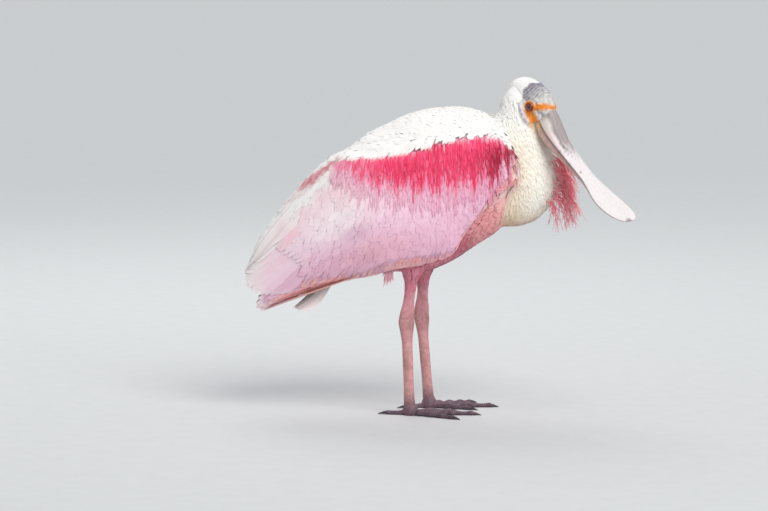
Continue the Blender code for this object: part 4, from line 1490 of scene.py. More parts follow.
def make_neck():
    coat = Coat("coat_neck")
    corner = whole.points[whole.faces[:, 0]]
    roots = whole.scatter(NECK_TRIES, step(0.3, 0.6, neck_share(corner)) + 0.02)
    roots = roots[(neck_share(roots) > 0.45) & ~by_head(roots)]
    roots = roots[wing_depth(roots) < 4]
    roots = roots[spaced(roots, 2.05)]
    high = step(300, 380, roots[:, 2])
    lengths = (15.0 - 5.0 * high) * rng.uniform(0.8, 1.2, len(roots))
    widths = (2.1 - 0.6 * high) * rng.uniform(0.8, 1.2, len(roots))
    body_feathers(coat, whole, roots, neck_flow, lengths, widths, 1.7, coat_colour, PLUME_FORM,
                  shape=POINTED_OUTLINE, flare=0.2)
    coat.put(looks["soft"], "white_plumage")


def belly_flow(points):
    """Backwards along the belly, and down the thighs."""
    s = body_place(points)[0]
    thigh = step(210, 198, points[:, 2])[:, None] * step(140, 110, s)[:, None]
    return unit(side_way(math.radians(8)) * (1 - thigh) + thigh * (DOWN + 0.12 * LEVEL_BACK))


def flank_tuft(coat, side):
    """A few loose pink feathers that hang out below the wing's fold, behind the thigh."""
    count, rows = 26, 6
    u = np.linspace(0, 1, rows)[None, :, None]
    start = np.array([-38, side * 47, 180]) + rng.normal(0, 1, (count, 1, 3)) * (2.6, 1.6, 1.5)
    heading = DOWN + rng.normal(0, 0.12, (count, 1, 3)) + 0.18 * LEVEL_BACK
    lines = start + heading * rng.uniform(12, 17, (count, 1, 1)) * u - side * LEFTWARD * 2.5 * u**2
    way = unit(np.gradient(lines, axis=1))
    normal = unit(np.cross(way, np.cross(np.broadcast_to(LEFTWARD * side, way.shape), way)))
    half = np.outer(rng.uniform(0.8, 1.3, count), outline(POINTED_OUTLINE, rows))
    colour = np.broadcast_to(mix(THIGH, PALE, 0.3), lines.shape)
    feathers(coat, lines, normal, way, half, np.zeros((count, rows)), colour, BODY_FORM)


def make_belly():
    """Feathers of the breast sides, belly, thighs and under the tail."""
    coat = Coat("coat_belly")
    roots = core.scatter(BELLY_TRIES)
    s, t, _ = body_place(roots)
    depth = wing_depth(roots)
    hidden = (depth > 5) & (depth < 60)
    keep = ~hidden & (neck_share(roots) < 0.6) & (s > -104) & (s < 196)
    keep &= (t < 40) | (s > 170)
    ragged = 154 + 22 * rng.random(len(s)) ** 0.6
    keep &= (t < scapular_line(s) + 4) & ((roots[:, 2] > ragged) | (s > 110))
    roots, s = roots[keep], s[keep]
    low = step(214, 190, roots[:, 2]) * step(140, 110, s)
    gaps = 3.4 - 1.3 * low
    picked = spaced(roots, gaps)
    roots, s, low = roots[picked], s[picked], low[picked]
    lengths = (17 - 4 * low) * rng.uniform(0.8, 1.2, len(roots))
    widths = (3.6 - 2.1 * low) * rng.uniform(0.8, 1.2, len(roots))
    body_feathers(coat, core, roots, belly_flow, lengths, widths, 1.0, coat_colour,
                  form=dict(BODY_FORM, cup=0.12, roll=0.06), shape=POINTED_OUTLINE, flare=0.1)
    for side in (1, -1):
        flank_tuft(coat, side)
    coat.put(looks["soft"], "pink_plumage")


def head_flow(points):
    return unit(np.broadcast_to(-FORWARD + 0.25 * DOWN, points.shape))


def make_head_down():
    """Short white feathers behind the bare face."""
    coat = Coat("coat_head")
    roots = head_surface.scatter(HEAD_TRIES)
    _, bare = head_marks(roots)
    x = head_place(roots)[0]
    keep = (bare < 0.5) & (x > -35)
    roots, x = roots[keep], x[keep]
    picked = spaced(roots, 1.15 + 0.5 * step(0, -25, x))
    roots, x = roots[picked], x[picked]
    lengths = (4.2 + 3.6 * step(6, -24, x)) * rng.uniform(0.75, 1.25, len(roots))
    widths = (0.75 + 0.65 * step(6, -24, x)) * rng.uniform(0.8, 1.2, len(roots))

    def head_coat_colour(points):
        colour, bare = head_marks(points)
        return mix(WHITE, colour, 0.5 * bare)

    form = dict(BODY_FORM, columns=3, thickness=0.12, roll=0.1, pitch=0.6)
    body_feathers(coat, head_surface, roots, head_flow, lengths, widths, 0.45, head_coat_colour,
                  form=form, rows=5, shape=(0.3, 0.9, 1.0, 0.7, 0.15), top=0.1, flare=0.15)
    coat.put(looks["soft"], "white_plumage")


# Wings.


def wing_lines(side, s, t, angle_of, lengths, rows):
    """Middle lines on the wing's face that start at (s, t) and follow angle_of(s, t)."""
    spots, normals = [], []
    turn = rng.normal(0, 0.05, len(s))
    for _ in range(rows):
        v = np.clip(wing_share(s, t), 0.004, 0.996)
        spots.append(wing_surface(s, v, side))
        normals.append(wing_normal(s, v, side))
        angle = angle_of(s, t) + turn
        s = s + np.cos(angle) * lengths / (rows - 1)
        t = t - np.sin(angle) * lengths / (rows - 1)
    lines = np.stack(spots, axis=1)
    normal = np.stack(normals, axis=1)
    return lines, normal, laid(unit(np.gradient(lines, axis=1)), normal)


def covert_angle(s, t):
    """How far below straight back the coverts point."""
    v = wing_share(s, t)
    below = scapular_line(s) - t
    front = math.radians(62) - math.radians(20) * step(35, 95, below)
    front = front - math.radians(16) * step(-20, -70, s) * step(0.5, 0.8, v)
    front = front - math.radians(18) * step(0.20, 0.06, read(FOLD, s) - v)
    rear = np.radians(read(((0.0, 27), (0.3, 26), (0.6, 20), (0.8, 10), (1.0, -2)), v))
    late = step(20, 150, s + 40 * (v - 0.4))
    return front * (1 - late) + rear * late


def scatter_wing(count):
    """Random stations and heights on the wing's face, evenly over its area."""
    s = rng.uniform(WING_FIRST, WING_LAST, count)
    v = rng.random(count)
    lower, higher = (wing_surface(s, np.clip(v + by, 0, 1), 1) for by in (0.01, -0.01))
    step_v = np.linalg.norm(lower - higher, axis=1)
    keep = rng.random(count) * step_v.max() < step_v
    s, v = s[keep], v[keep]
    points = wing_surface(s, v, 1)
    _, t, _ = body_place(points)
    return s, v, t, points


def wing_marks(points):
    s, t, _ = body_place(points)
    return mix(wing_colour(points), CARMINE, carmine_share(s, t + 2))


def make_coverts(side):
    """The small and middle coverts, in overlapping tiers that lengthen towards the rear."""
    coat = Coat(f"coverts_{SIDE_NAMES[side]}")
    s, v, t, points = scatter_wing(COVERT_TRIES)
    fold = read(FOLD, s)
    rank = step(-90, 190, s + 70 * (v - 0.5))
    keep = (v > 0.01) & (v < fold - 0.015)
    keep &= (t < scapular_line(s) + 5) & (s < 150 + 40 * (0.5 - v))
    s, v, t, points, rank, fold = (a[keep] for a in (s, v, t, points, rank, fold))
    picked = spaced(points, 2.9 + 3.6 * rank)
    s, v, t, rank, fold = (a[picked] for a in (s, v, t, rank, fold))
    lengths = (14 + 50 * rank**1.2) * rng.uniform(0.85, 1.15, len(s))
    room = np.maximum((fold - v) * 150, 6) / np.maximum(np.sin(covert_angle(s, t)), 0.15)
    lengths = np.minimum(lengths, np.maximum(room, 9))
    widths = (2.8 + 4.0 * rank) * rng.uniform(0.85, 1.15, len(s))
    rows = 8
    lines, normal, way = wing_lines(side, s, t, covert_angle, lengths, rows)
    half = np.outer(widths, outline(LONG_OUTLINE, rows))
    u = np.linspace(0, 1, rows)
    lift = -1.2 * (1 - u[None]) ** 1.2 + 0.3 + rng.uniform(-0.05, 0.05, (len(s), 1))
    lift = lift - 0.6 * step(100, 180, body_place(lines)[0])
    colour = row_colour(wing_marks, lines, 0.08)
    feathers(coat, lines, normal, way, half, lift, colour, WING_FORM)
    coat.put(looks["vane"], "pink_plumage")


def make_drips(side):
    """The carmine plumes of the shoulder, which hang over the pink coverts in streaks."""
    coat = Coat(f"carmine_{SIDE_NAMES[side]}")
    s, _, t, points = scatter_wing(CARMINE_TRIES)
    keep = (t < read(CARMINE_TOP, s) + 2 + 6 * step(88, 50, s)) & (s < 110) & (s > -95)
    keep &= t > read(CARMINE_END, s) + 2 + streak_reach(s, t)
    s, t, points = (a[keep] for a in (s, t, points))
    picked = spaced(points, 1.9)
    s, t = s[picked], t[picked]

    def drip_angle(s, t):
        return np.radians(64 + 12 * step(-40, -90, s) - 8 * step(40, 100, s) + 0 * t)

    lengths = rng.uniform(15, 30, len(s)) * (1 - 0.35 * step(-50, -90, s))
    rows = 8
    lines, normal, way = wing_lines(side, s, t, drip_angle, lengths, rows)
    widths = rng.uniform(1.1, 2.1, len(s))
    half = np.outer(widths, outline(POINTED_OUTLINE, rows))
    u = np.linspace(0, 1, rows)
    lift = -1.5 * (1 - u[None]) ** 1.5 + 0.95 + rng.uniform(-0.15, 0.15, (len(s), 1))
    here_s, here_t, _ = body_place(lines)
    past = here_t - read(CARMINE_END, here_s) - streak_reach(here_s, here_t)
    red = step(-6, 4, past + rng.normal(0, 3.0, (len(s), 1)))
    lot = rng.random((len(s), 1))
    dark = step(-36, -74, here_s) * step(34, 4, here_t)
    dark = np.clip(dark + 0.2 * rng.normal(0, 1, (len(s), 1)), 0, 1)
    faded = (lot > 0.72 - 0.34 * step(20, 0, past)) * step(30, 4, past) * 0.7
    smudge = 0.75 * step(50, 96, here_s) * (0.6 + 0.4 * np.sin(here_t * 0.5 + here_s * 0.3))
    below = read(CARMINE_TOP, here_s) - here_t + rng.normal(0, 3, (len(s), 1))
    base = paint(
        CARMINE,
        (srgb(244, 108, 146), 0.65 * lot**2 + 0.35 * step(26, 0, past)),
        (srgb(242, 160, 186), faded),
        (srgb(242, 150, 178), smudge + 0.2 * step(12, 0, past)),
        (srgb(246, 190, 206), 0.7 * step(7, 0, below)),
        (CRIMSON, dark * 0.9),
    )
    pale = mix(srgb(232, 150, 178), srgb(196, 60, 96), 0.7 * step(-56, -84, here_s))
    ground = wing_colour(lines.reshape(-1, 3)).reshape(lines.shape)
    colour = np.clip(mix(mix(ground, pale, 0.55), base, red), 0, 1)
    feathers(coat, lines, normal, way, half, lift, colour, DRIP_FORM)
    coat.put(looks["soft"], "pink_plumage")


def make_strip(side):
    """The salmon feathers under the wing's folded edge."""
    coat = Coat(f"wing_edge_{SIDE_NAMES[side]}")
    s, v, t, points = scatter_wing(EDGE_TRIES)
    keep = (v > read(FOLD, s) - 0.05) & (v < 0.955) & (s < 226)
    s, t, points = (a[keep] for a in (s, t, points))
    picked = spaced(points, 3.0 + 1.2 * step(-60, 120, s))
    s, t = s[picked], t[picked]
    stations = np.arange(WING_FIRST, WING_LAST + 1)
    slope = np.gradient(profile(WING, stations)[4])

    def strip_angle(s, t):
        return -np.arctan(np.interp(s, stations, slope)) + 0 * t

    rank = step(-60, 140, s)
    lengths = np.minimum((13 + 24 * rank) * rng.uniform(0.85, 1.15, len(s)), 264 - s)
    rows = 7
    lines, normal, way = wing_lines(side, s, t, strip_angle, lengths, rows)
    widths = (2.3 + 1.3 * rank) * rng.uniform(0.85, 1.15, len(s))
    half = np.outer(widths, outline(LONG_OUTLINE, rows))
    u = np.linspace(0, 1, rows)
    lift = -1.3 * (1 - u[None]) - 1.3 + rng.uniform(-0.1, 0.1, (len(s), 1))
    colour = row_colour(wing_marks, lines, 0.4)
    feathers(coat, lines, normal, way, half, lift, colour, WING_FORM)
    coat.put(looks["vane"], "pink_plumage")


QUILL_OUTLINE = (0.16, 0.55, 0.80, 0.93, 1.0, 1.0, 0.99, 0.96, 0.88, 0.70, 0.30)


def quills(coat, side, roots, tips, width, low, high, bow=0.0):
    """Long flight feathers between lines of (station, height) roots and tips."""
    rows = 26
    u = np.linspace(0, 1, rows)
    roots, tips = np.asarray(roots, float), np.asarray(tips, float)
    count = len(roots)
    s = roots[:, :1] + (tips[:, :1] - roots[:, :1]) * u
    t = roots[:, 1:] + (tips[:, 1:] - roots[:, 1:]) * u + bow * np.sin(u * math.pi)
    v = np.clip(wing_share(s, t), 0.004, 0.996)
    lines = wing_surface(s, v, side)
    _, held, _ = body_place(lines)
    lines = lines + UPWARD * (t - held)[..., None]
    normal = wing_normal(s, v, side)
    way = laid(unit(np.gradient(lines, axis=1)), normal)
    half = np.outer(np.full(count, width), outline(QUILL_OUTLINE, rows))
    order = np.arange(count)[:, None] * 0.05
    lift = low + (high - low) * u[None] ** 0.6 - order
    colour = mix(row_colour(wing_marks, lines, 0.25), WHITE, 0.35 * near(u, 1.0, 0.10))
    feathers(coat, lines, normal, way, half, lift, np.clip(colour, 0, 1), QUILL_FORM)


def fan(first, last, count):
    """Places spread evenly from the first to the last."""
    share = np.linspace(0, 1, count)[:, None]
    return np.asarray(first) + (np.asarray(last) - np.asarray(first)) * share


# Tips of the flight feathers: (station, height).
PRIMARY_TIPS = (
    (268, -29), (272, -34), (273, -39), (271, -44), (267, -48), (260, -48), (248, -47), (234, -46),
)
SECONDARY_TIPS = (
    (263, 11), (268, 5), (271, -1), (273, -7), (273, -12), (270, -17), (267, -21), (262, -25),
    (256, -28), (250, -31), (244, -33), (238, -35), (231, -37), (223, -38), (214, -39), (204, -39),
)


def make_quills(side):
    """The flight feathers, in three overlapping tiers."""
    coat = Coat(f"quills_{SIDE_NAMES[side]}")
    quills(coat, side, fan((150, -42), (60, -66), 8), PRIMARY_TIPS, 8.0, -4.2, -2.2)
    quills(coat, side, fan((158, 50), (84, -22), 16), SECONDARY_TIPS, 9.5, -2.8, -0.5, 2.0)
    roots, tips = fan((110, 72), (52, -2), 14), fan((224, 30), (184, -36), 14)
    quills(coat, side, roots, tips, 9.5, -2.2, 0.0, 2.0)
    coat.put(looks["vane"], "pink_plumage")


def make_tertials(side):
    """Long white feathers over the wing's upper rear edge."""
    coat = Coat(f"tertials_{SIDE_NAMES[side]}")
    roots = fan((120, 82), (104, 66), 6)
    tips = fan((262, 11), (232, 24), 6)
    quills(coat, side, roots, tips, 9.0, -2.6, 0.6, 3.0)
    coat.put(looks["vane"], "white_plumage")


# Tail.


def make_tail():
    """The white tail: an arched fan of quills over a soft root."""
    coat = Coat("tail_feathers")
    count, rows = 13, 22
    share = np.linspace(-1, 1, count)
    share = share[np.argsort(-np.abs(share))]
    spread = np.radians(8.0) * share
    heading = TAIL_BACK * np.cos(spread)[:, None] + LEFTWARD * np.sin(spread)[:, None]
    u = np.linspace(0, 1, rows)
    distance = 12 + (TAIL_LENGTH - 12.5 - 6 * share**2)[:, None] * u
    tilt = np.radians(64) * share
    level = TAIL_UP * np.cos(tilt)[:, None] + LEFTWARD * np.sin(tilt)[:, None]
    start = TAIL_ROOT + LEFTWARD * (5 * share)[:, None]
    lines = start[:, None] + distance[..., None] * heading[:, None]
    lines = lines - TAIL_UP * (11 * share[:, None] ** 2 * step(0.1, 0.9, u))[..., None]
    normal = np.broadcast_to(level[:, None], lines.shape)
    way = np.broadcast_to(heading[:, None], lines.shape)
    half = np.outer(np.full(count, 7.0), outline(QUILL_OUTLINE, rows))
    lift = np.zeros((count, rows)) + 0.8 - 0.25 * np.arange(count)[:, None][::-1] / 3
    colour = np.broadcast_to(mix(WHITE, BLUSH, 0.12), lines.shape)
    feathers(coat, lines, normal, way, half, lift, colour, dict(QUILL_FORM, roll=0.3))
    coat.put(looks["vane"], "white_plumage")


# Breast plume: how many curled plumes, the loose barbs on each, and the shape of both.
PLUMES = 84
BARBS = 12
CURL_OUTLINE = (0.8, 1.0, 0.9, 0.7, 0.4, 0.12)
# Corners, in millimetres, of the space that they keep to.
PLUME_LOW = (-1e9, -1e9, 226)
PLUME_HIGH = (215, 1e9, 1e9)


def along_line(line, at):
    """The place on a line at a share of its way."""
    return np.array([np.interp(at, np.linspace(0, 1, len(line)), axis) for axis in line.T])


def make_plume():
    """Curled red plumes with loose barbs on the front of the lower neck."""
    coat = Coat("breast_plume")
    rows = 12
    u = np.linspace(0, 1, rows)[:, None]
    for _ in range(PLUMES):
        f = rng.uniform(-1, 1)
        height = rng.uniform(262, 318)
        centre, _, front, half_width = smooth_table(NECK, height)
        angle = f * math.radians(44)
        cos, sin = math.cos(angle), math.sin(angle)
        root = np.array([centre + front * cos, half_width * sin, height])
        out = np.array([cos, 0.8 * sin, -0.15])
        length = rng.uniform(25, 44)
        curl = rng.uniform(0.30, 0.75)
        sideways = np.array([-sin, cos, 0.0]) * rng.normal(0, 0.22)
        hook = unit(rng.normal(0, 1, 3) + out * 0.8) * rng.uniform(0.05, 0.24)
        droop = DOWN * u**2 * 0.9 + sideways * u**2 + hook * u**4
        middle = root - out * 3 + length * (out * u * (1 - curl * u) + droop)
        wave = np.sin(u * rng.uniform(4, 9) + rng.uniform(0, 6))
        middle = middle + 0.9 * wave * np.array([-sin, cos, 0.3])
        lines = [middle]
        for start in rng.uniform(0.05, 0.88, BARBS):
            reach = rng.uniform(7, 15) * (1 - 0.4 * start)
            base = along_line(middle, start)
            run = unit(along_line(middle, min(start + 0.2, 1.0)) - base + 1e-6)
            off = unit(rng.normal(0, 1, 3)) * rng.uniform(0.25, 0.6)
            bend = unit(rng.normal(0, 1, 3)) * rng.uniform(0.25, 0.85)
            lines.append(base + reach * ((run + off) * u + bend * u**2 + 0.25 * DOWN * u**2))
        lines = np.clip(np.stack(lines), PLUME_LOW, PLUME_HIGH)
        way = unit(np.gradient(lines, axis=1))
        normal = unit(np.cross(way, np.broadcast_to(rng.normal(0, 1, 3), way.shape)))
        half = np.outer([0.75] + [0.42] * BARBS, outline(CURL_OUTLINE, rows))
        colour = mix(PLUME, srgb(247, 168, 180), 0.6 * rng.random())
        colour = mix(colour, srgb(248, 190, 190), 0.25 * u[:, 0])
        feathers(coat, lines, normal, way, half, np.zeros(half.shape),
                 np.broadcast_to(colour, lines.shape), CURL_FORM, np.tile(root, (len(lines), 1)))
    coat.put(looks["soft"], "pink_plumage")


# Bill.


def bill_colour(points, upper):
    x, left, z = head_place(points)
    y = np.abs(left)
    cloud = np.sin(x * 0.31 + y * 0.5) + 0.6 * np.sin(x * 0.83 - y * 0.9)
    cloud = cloud + 0.4 * np.sin(y * 2.1 + x * 0.2)
    _, mouth, _, half_width = profile(BILL, x)
    if upper:
        ridge = step(13.5, 9.5, y + 0.5 * cloud + 0.07 * (x - 50)) * step(100, 74, x + 5 * cloud)
        rib = near(y + 0.03 * (x - 50), 9.5, 4.0) + 0.4 * near(y, 2.5, 2.0)
        mottle = step(0.6, 1.3, cloud) * step(120, 92, x) * step(70, 90, x)
        patch = np.sqrt(((x - 47) / 15) ** 2 + ((y - 13) / 4.6) ** 2)
        colour = paint(
            srgb(226, 219, 218),
            (srgb(224, 196, 194), 0.7 * step(110, 60, x) * step(6, 14, y)),
            (srgb(158, 146, 142), 0.92 * ridge),
            (srgb(118, 106, 114), 0.75 * np.clip(rib, 0, 1) * ridge),
            (srgb(150, 142, 150), 0.5 * mottle),
            (srgb(222, 214, 204), 0.9 * near(patch, 0, 1.3) * step(78, 50, x)),
        )
    else:
        colour = paint(
            srgb(206, 172, 164),
            (srgb(228, 206, 202), step(90, 160, x)),
            (srgb(190, 128, 118), 0.6 * near(z - mouth, -3.4, 1.6)),
            (YELLOW, 0.7 * step(50, 38, x)),
            (srgb(150, 120, 120), 0.3 * step(0.2, 1.2, cloud) * step(150, 110, x)),
        )
    rim = step(0.90, 0.985, y / half_width) * near(z, mouth, 1.7 if upper else 1.0)
    dark = mix(srgb(124, 62, 48), srgb(70, 48, 50), step(60, 120, x))
    return paint(
        colour,
        (dark, 0.95 * rim * step(214, 196, x) * step(34, 40, x)),
        (srgb(60, 40, 42), 0.85 * near(x, 213, 8) * near(y, 0, 8)),
        (srgb(112, 104, 110), 0.8 * near(np.hypot(x - 123, left + 9), 0, 2.6)),
    )


# Half the slit between the two halves of the bill, in millimetres.
BILL_GAP = 0.15


def upper_height(x, edge, across, floor, top, dome):
    """Heights of the upper half's ridge, grooves, ripples and nostrils."""
    blade = step(140, 170, x)
    ripple = np.sin(x * 1.7 + 0.5 * np.sin(edge * 6)) * step(92, 48, x)
    slit = np.sqrt(((x - 47) / 5.2) ** 2 + ((np.abs(across) - 5.6) / 1.15) ** 2)
    return (
        floor
        + (top - floor) * dome
        - 0.55 * near(edge, 0.80, 0.10) * step(46, 60, x) * step(204, 190, x)
        + blade * (0.35 * near(edge, 0.97, 0.10) - 0.45 * near(edge, 0.55, 0.4))
        + 0.5 * near(edge, 0, 0.16) * step(150, 60, x)
        + 0.16 * ripple * (1 - edge**4)
        - 1.6 * near(slit, 0, 1.1)
    )


def lower_height(x, edge, roof, bottom, dome):
    """Heights of the lower half's underside."""
    rim = 0.3 * step(140, 170, x) * near(edge, 0.97, 0.10)
    return roof + (bottom - roof) * dome - rim + 0.35 * near(edge, 0.62, 0.14) * step(48, 60, x)


def make_bill(upper):
    """One half of the bill, closed along the mouth by a flat face."""
    node = "bill_upper" if upper else "bill_lower"
    x = np.concatenate([np.linspace(34.6, 205, 148), np.linspace(205.6, 211.3, 22)])
    top, mouth, bottom, half_width = profile(BILL, x)
    half_width = half_width * (0.98 - 0.032 * step(140, 170, x))
    if not upper:
        half_width = half_width - np.minimum(0.7, half_width * 0.2)
    x, top, mouth, bottom = (a[:, None] for a in (x, top, mouth, bottom))
    angle = np.linspace(0, math.pi, 45)[None]
    across = np.cos(angle) * half_width[:, None]
    edge = np.abs(np.cos(angle))
    steep = 0.8 if upper else 0.30 + 0.50 * step(110, 160, x)
    dome = np.sin(angle) ** steep
    if upper:
        flat = mouth + BILL_GAP
        z = upper_height(x, edge, across, flat, top, dome)
    else:
        flat = mouth - BILL_GAP
        z = lower_height(x, edge, flat, bottom, dome)
    outer = head_point(x, across, z)
    inner = head_point(x, across, flat)[:, 1:-1][:, ::-1]
    rings = np.concatenate([outer, inner], axis=1)
    points, faces = turned_over(*tube(rings), not upper)
    tint = bill_colour(points, upper)
    put(f"{node}_horn", points, faces, looks["bill"], tint, replaced=(node,))


# Eyes.


def make_eye(side):
    centre, outward, first, second = eye_axes(side)
    count = 64
    polar = np.linspace(0.0, math.pi, 44)[1:-1]
    angle = ring_angles(count)
    radius = EYE_RADIUS * (1 + 0.035 * near(polar, 0, 0.75))
    flat = np.cos(angle)[:, None] * first + np.sin(angle)[:, None] * second
    rings = (
        centre
        + (np.cos(polar) * radius)[:, None, None] * outward
        + (np.sin(polar) * radius)[:, None, None] * flat
    )
    points, faces = turned_over(*tube(rings), side < 0)
    across = np.sin(np.repeat(polar, count)) * EYE_RADIUS
    spin = np.tile(angle, len(polar))
    front = np.repeat(np.cos(polar), count) > 0
    colour = paint(
        srgb(124, 12, 16),
        (srgb(64, 4, 10), step(2.4, 4.2, across)),
        (srgb(168, 30, 22), 0.3 * (0.5 + 0.5 * np.sin(spin * 23 + across * 2))),
        (srgb(4, 3, 4), step(2.6, 2.3, across)),
        (srgb(30, 8, 8), step(4.1, 4.5, across)),
    )
    colour = np.where(front[:, None], colour, srgb(60, 20, 20))
    name = SIDE_NAMES[side]
    look = looks["eye"]
    put(f"eyeball_{name}", points, faces, look, colour, replaced=(f"eye_{name}",))


# Legs.


def toe_ring(place, heading, half_width, height, count=18):
    across = np.cross([0, 0, 1], heading)
    angle = ring_angles(count) + math.pi / 2
    level = np.maximum(np.sin(angle) * 0.5 * height, -0.38 * height)
    level = (level + 0.38 * height) / 0.88
    return place + np.outer(np.cos(angle) * half_width, across) + np.outer(level, [0, 0, 1])


def toe_heading(side, toe_name):
    turn = -side * TOES[toe_name][0]
    return np.array([math.cos(turn), math.sin(turn), 0.0])


def toe_tube(side, toe_name):
    _, length, radius, bones = TOES[toe_name]
    heading = toe_heading(side, toe_name)
    first, last = 2.0, length - 0.2
    rings = []
    for distance in np.linspace(first, last, max(8, int((last - first) / 2))):
        u = distance / length
        swell = 1.0 + 0.14 * math.cos(2 * math.pi * u * bones)
        half_width = radius * (1 - 0.42 * u) * swell - 0.15
        height = 2 * radius * (1 - 0.45 * u) * swell - 0.3
        place = FOOT_PLACE[side] + heading * distance + (0, 0, 0.05)
        rings.append(toe_ring(place, heading, half_width, height))
    return tube(rings)


def web_tube(side):
    """The small webs between the front toes."""
    reaches = (("inner", 0.80), ("middle", 0.94), ("outer", 0.80), ("middle", 0.0))
    corners = [FOOT_PLACE[side] + 25 * share * toe_heading(side, toe) for toe, share in reaches]
    low, high = (np.array(corners) + (0, 0, z) for z in (1.0, 3.0))
    return turned_over(*tube([low, high]), side < 0)


# Shank and tarsus: share of the way up, depth, width. Pad of the foot: height, depth, width.
SHANK_FORM = (
    (0.0, 9.6, 7.0), (0.10, 9.2, 6.6), (0.26, 7.4, 5.4), (0.45, 7.0, 5.2), (0.60, 7.8, 6.4),
    (0.80, 8.2, 7.0),
)
TARSUS_FORM = (
    (0.0, 7.4, 6.8), (0.07, 7.0, 5.8), (0.20, 6.6, 4.6), (0.50, 6.7, 4.5), (0.78, 7.2, 5.0),
    (0.90, 9.0, 6.4), (0.97, 10.0, 7.2), (1.0, 9.8, 7.1),
)
PAD_FORM = ((0.0, 8.4, 8.4), (3, 9.6, 9.8), (8, 9.2, 9.2), (13.2, 7.0, 6.6))


def leg_forms(side):
    ankle, hock, knee = leg_points(side)
    foot = FOOT_PLACE[side] + (1, 0, 0)
    stations = shaft(ankle, hock, TARSUS_FORM, np.linspace(0, 1, 60), 0.25)
    stations += shaft(hock, knee, SHANK_FORM, np.linspace(0.01, 0.80, 44), 0.25)
    pad = shaft(foot, foot - DOWN, PAD_FORM, np.linspace(0.1, 13.2, 10), 0.1)
    toes = [toe_tube(side, name) for name in TOES]
    return [limb_tube(stations, 32), limb_tube(pad, 32), web_tube(side), *toes]


def make_leg(side):
    points, faces = remeshed(leg_forms(side), LEG_VOXEL, 3)
    normal = vertex_normals(points, faces)
    foot = FOOT_PLACE[side]
    z = points[:, 2]
    ankle, hock, _ = leg_points(side)
    axis_x = np.interp(z, [0, ankle[2], hock[2], 200], [foot[0], ankle[0], hock[0], hock[0]])
    angle = np.arctan2(points[:, 1] - foot[1], points[:, 0] - axis_x)
    away = np.linalg.norm(points[:, :2] - foot[:2], axis=1)
    high = step(11, 20, z)
    warp = 0.5 * np.sin(angle * 3 + z * 0.11) + 0.35 * np.sin(z * 0.37 + angle)
    rows_of = z / 2.3 + warp * 0.4
    cells = angle * 2.9 + 0.5 * (np.floor(rows_of) % 2) * math.pi
    groove = np.maximum(
        near((rows_of % 1.0) - 0.5, 0.5, 0.22), near(((cells / math.pi) % 1.0) - 0.5, 0.5, 0.14)
    )
    ring = near(z, hock[2], 14)
    creases = near(((z / 1.9 + 0.5 * np.sin(angle * 2)) % 1.0) - 0.5, 0.5, 0.3) * ring
    rise = -0.24 * high * np.maximum(groove, creases)
    scute = np.zeros(len(points))
    for name, (_, _, radius, _) in TOES.items():
        heading = toe_heading(side, name)[:2]
        along = (points[:, :2] - foot[:2]) @ heading
        off = np.abs((points[:, :2] - foot[:2]) @ np.array([-heading[1], heading[0]]))
        on_toe = step(radius + 1.5, radius, off) * step(3, 8, along)
        line = near(((along / 2.1 + 0.06 * off) % 1.0) - 0.5, 0.5, 0.24)
        scute = np.maximum(scute, on_toe * line * step(1.2, 2.4, z))
    rise -= 0.24 * (1 - high) * scute
    points = points + normal * rise[:, None]
    points[:, 2] = np.maximum(points[:, 2], 0.02)
    lines = np.maximum(high * np.maximum(groove, creases), (1 - high) * scute)
    patch = near(z, 62, 10) * (0.5 + 0.5 * np.sin(angle * 2 + side))
    colour = paint(
        srgb(192, 138, 136),
        (srgb(206, 140, 148), step(60, 150, z)),
        (srgb(164, 112, 106), 0.6 * near(z, hock[2] - 3, 22)),
        (srgb(150, 108, 100), 0.5 * patch),
        (srgb(108, 80, 92), step(34, 8, z)),
        (srgb(82, 62, 76), step(10, 4, z) * step(8, 16, away)),
        (srgb(206, 180, 178), 0.38 * lines),
    )
    colour = np.clip(colour * (1 + 0.10 * np.sin(angle * 2 + z * 0.05))[:, None], 0, 1)
    name = SIDE_NAMES[side]
    nodes = [f"shank_{name}", f"tarsus_{name}", f"foot_{name}"]
    nodes += [f"toe_{name}_{toe}" for toe in TOES]
    put(f"leg_skin_{name}", points, faces, looks["leg"], colour, replaced=nodes)


def make_claw(side, toe_name):
    _, length, radius, _ = TOES[toe_name]
    heading = toe_heading(side, toe_name)
    tip = FOOT_PLACE[side] + heading * (length - 1.6)
    shares = np.linspace(0, 1, 22)
    rings = []
    for u in shares:
        size = radius * 0.50 * (1 - 0.86 * u**1.1)
        rise = max(1.9 - 1.6 * u**2 - 0.38 * 2 * size, 0.05)
        place = tip + heading * (CLAW_LENGTH + 1.4) * u + (0, 0, rise)
        rings.append(toe_ring(place, heading, size, 2.1 * size, 16))
    points, faces = tube(rings)
    colour = mix(srgb(70, 56, 60), srgb(28, 22, 24), np.repeat(shares, 16))
    name = f"{SIDE_NAMES[side]}_{toe_name}"
    look = looks["claw"]
    put(f"claw_horn_{name}", points, faces, look, colour, replaced=(f"claw_{name}",))


make_back()
make_neck()
make_belly()
make_head_down()
for side in (1, -1):
    make_coverts(side)
    make_drips(side)
    make_strip(side)
    make_quills(side)
    make_tertials(side)
    make_eye(side)
    make_leg(side)
    for toe in TOES:
        make_claw(side, toe)
make_tail()
make_plume()
make_bill(upper=True)
make_bill(upper=False)


# Stage: the floor's rings, in metres, and its spokes.
FLOOR_RADII = (0.6, 2.0, 6.0, 20.0, 60.0)
FLOOR_SPOKES = 96


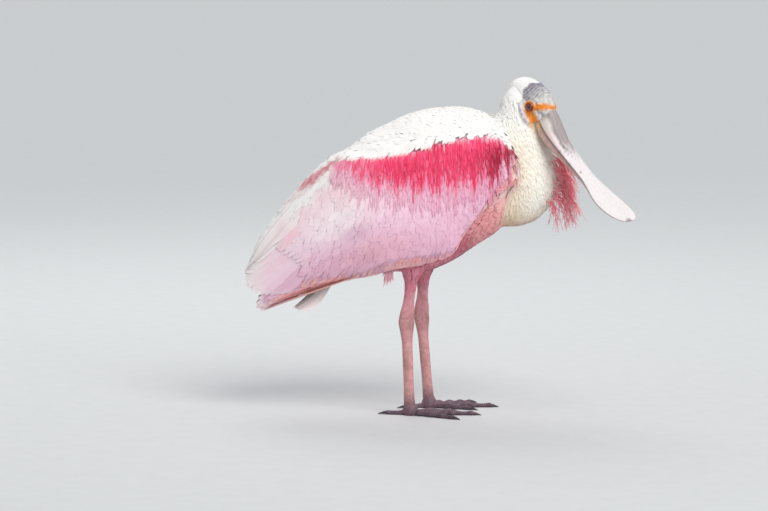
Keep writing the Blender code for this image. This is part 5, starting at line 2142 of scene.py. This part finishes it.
def make_stage():
    """A wide level floor, pale and plain."""
    around = ring_angles(FLOOR_SPOKES)
    points = [(0.0, 0.0, 0.0)]
    for radius in FLOOR_RADII:
        points += [(math.cos(a) * radius, math.sin(a) * radius, 0.0) for a in around]
    faces = [(0, 1 + k, 1 + (k + 1) % FLOOR_SPOKES) for k in range(FLOOR_SPOKES)]
    faces += (1 + ring_faces(len(FLOOR_RADII), FLOOR_SPOKES)).tolist()
    mesh = bpy.data.meshes.new("floor")
    mesh.from_pydata(points, [], faces)
    floor = linked("floor", mesh)
    look = Look("floor", 0.85, Specular_IOR_Level=0.15)
    share = look.between(look.noise(40.0, 3.0), 0.3, 0.7)
    look.finish(look.blend("MIX", share, (0.60, 0.61, 0.61), (0.62, 0.63, 0.63)))
    mesh.materials.append(look.material)


def area_light(name, place, target, size, power, colour):
    light = bpy.data.lights.new(name, "AREA")
    light.shape = "DISK"
    light.size = size
    light.energy = power
    light.color = colour
    made = linked(name, light)
    made.location = place
    made.rotation_euler = (Vector(target) - Vector(place)).to_track_quat("-Z", "Y").to_euler()


def sun_light(name, toward, strength, spread, colour):
    light = bpy.data.lights.new(name, "SUN")
    light.energy = strength
    light.angle = math.radians(spread)
    light.color = colour
    made = linked(name, light)
    made.rotation_euler = Vector(toward).to_track_quat("Z", "Y").to_euler()


def make_light_and_camera():
    sun_light("key", (0.55, -1.0, 1.15), 1.74, 34, (1.0, 0.985, 0.96))
    area_light("fill", (1.7, -2.0, 1.25), (0.1, 0, 0.28), 1.6, 13, (0.96, 0.98, 1.0))
    area_light("rim", (-0.4, 1.4, 1.9), (0, 0, 0.25), 1.4, 12, (1.0, 1.0, 1.0))
    bpy.context.scene.view_settings.view_transform = "Standard"
    world = bpy.data.worlds.new("studio")
    bpy.context.scene.world = world
    world.use_nodes = True
    sky = world.node_tree.nodes["Background"].inputs
    sky["Color"].default_value = (0.92, 0.95, 1.0, 1.0)
    sky["Strength"].default_value = 0.62
    data = bpy.data.cameras.new("camera")
    data.lens = LENS
    data.sensor_width = SENSOR
    camera = linked("camera", data)
    away = np.array([0, -math.cos(CAMERA_TILT), math.sin(CAMERA_TILT)])
    camera.location = (CAMERA_AIM + SHIFT) * MM + VIEW_WIDTH * LENS / SENSOR * away
    camera.rotation_euler = (math.pi / 2 - CAMERA_TILT, 0, 0)
    bpy.context.scene.camera = camera


make_stage()
make_light_and_camera()
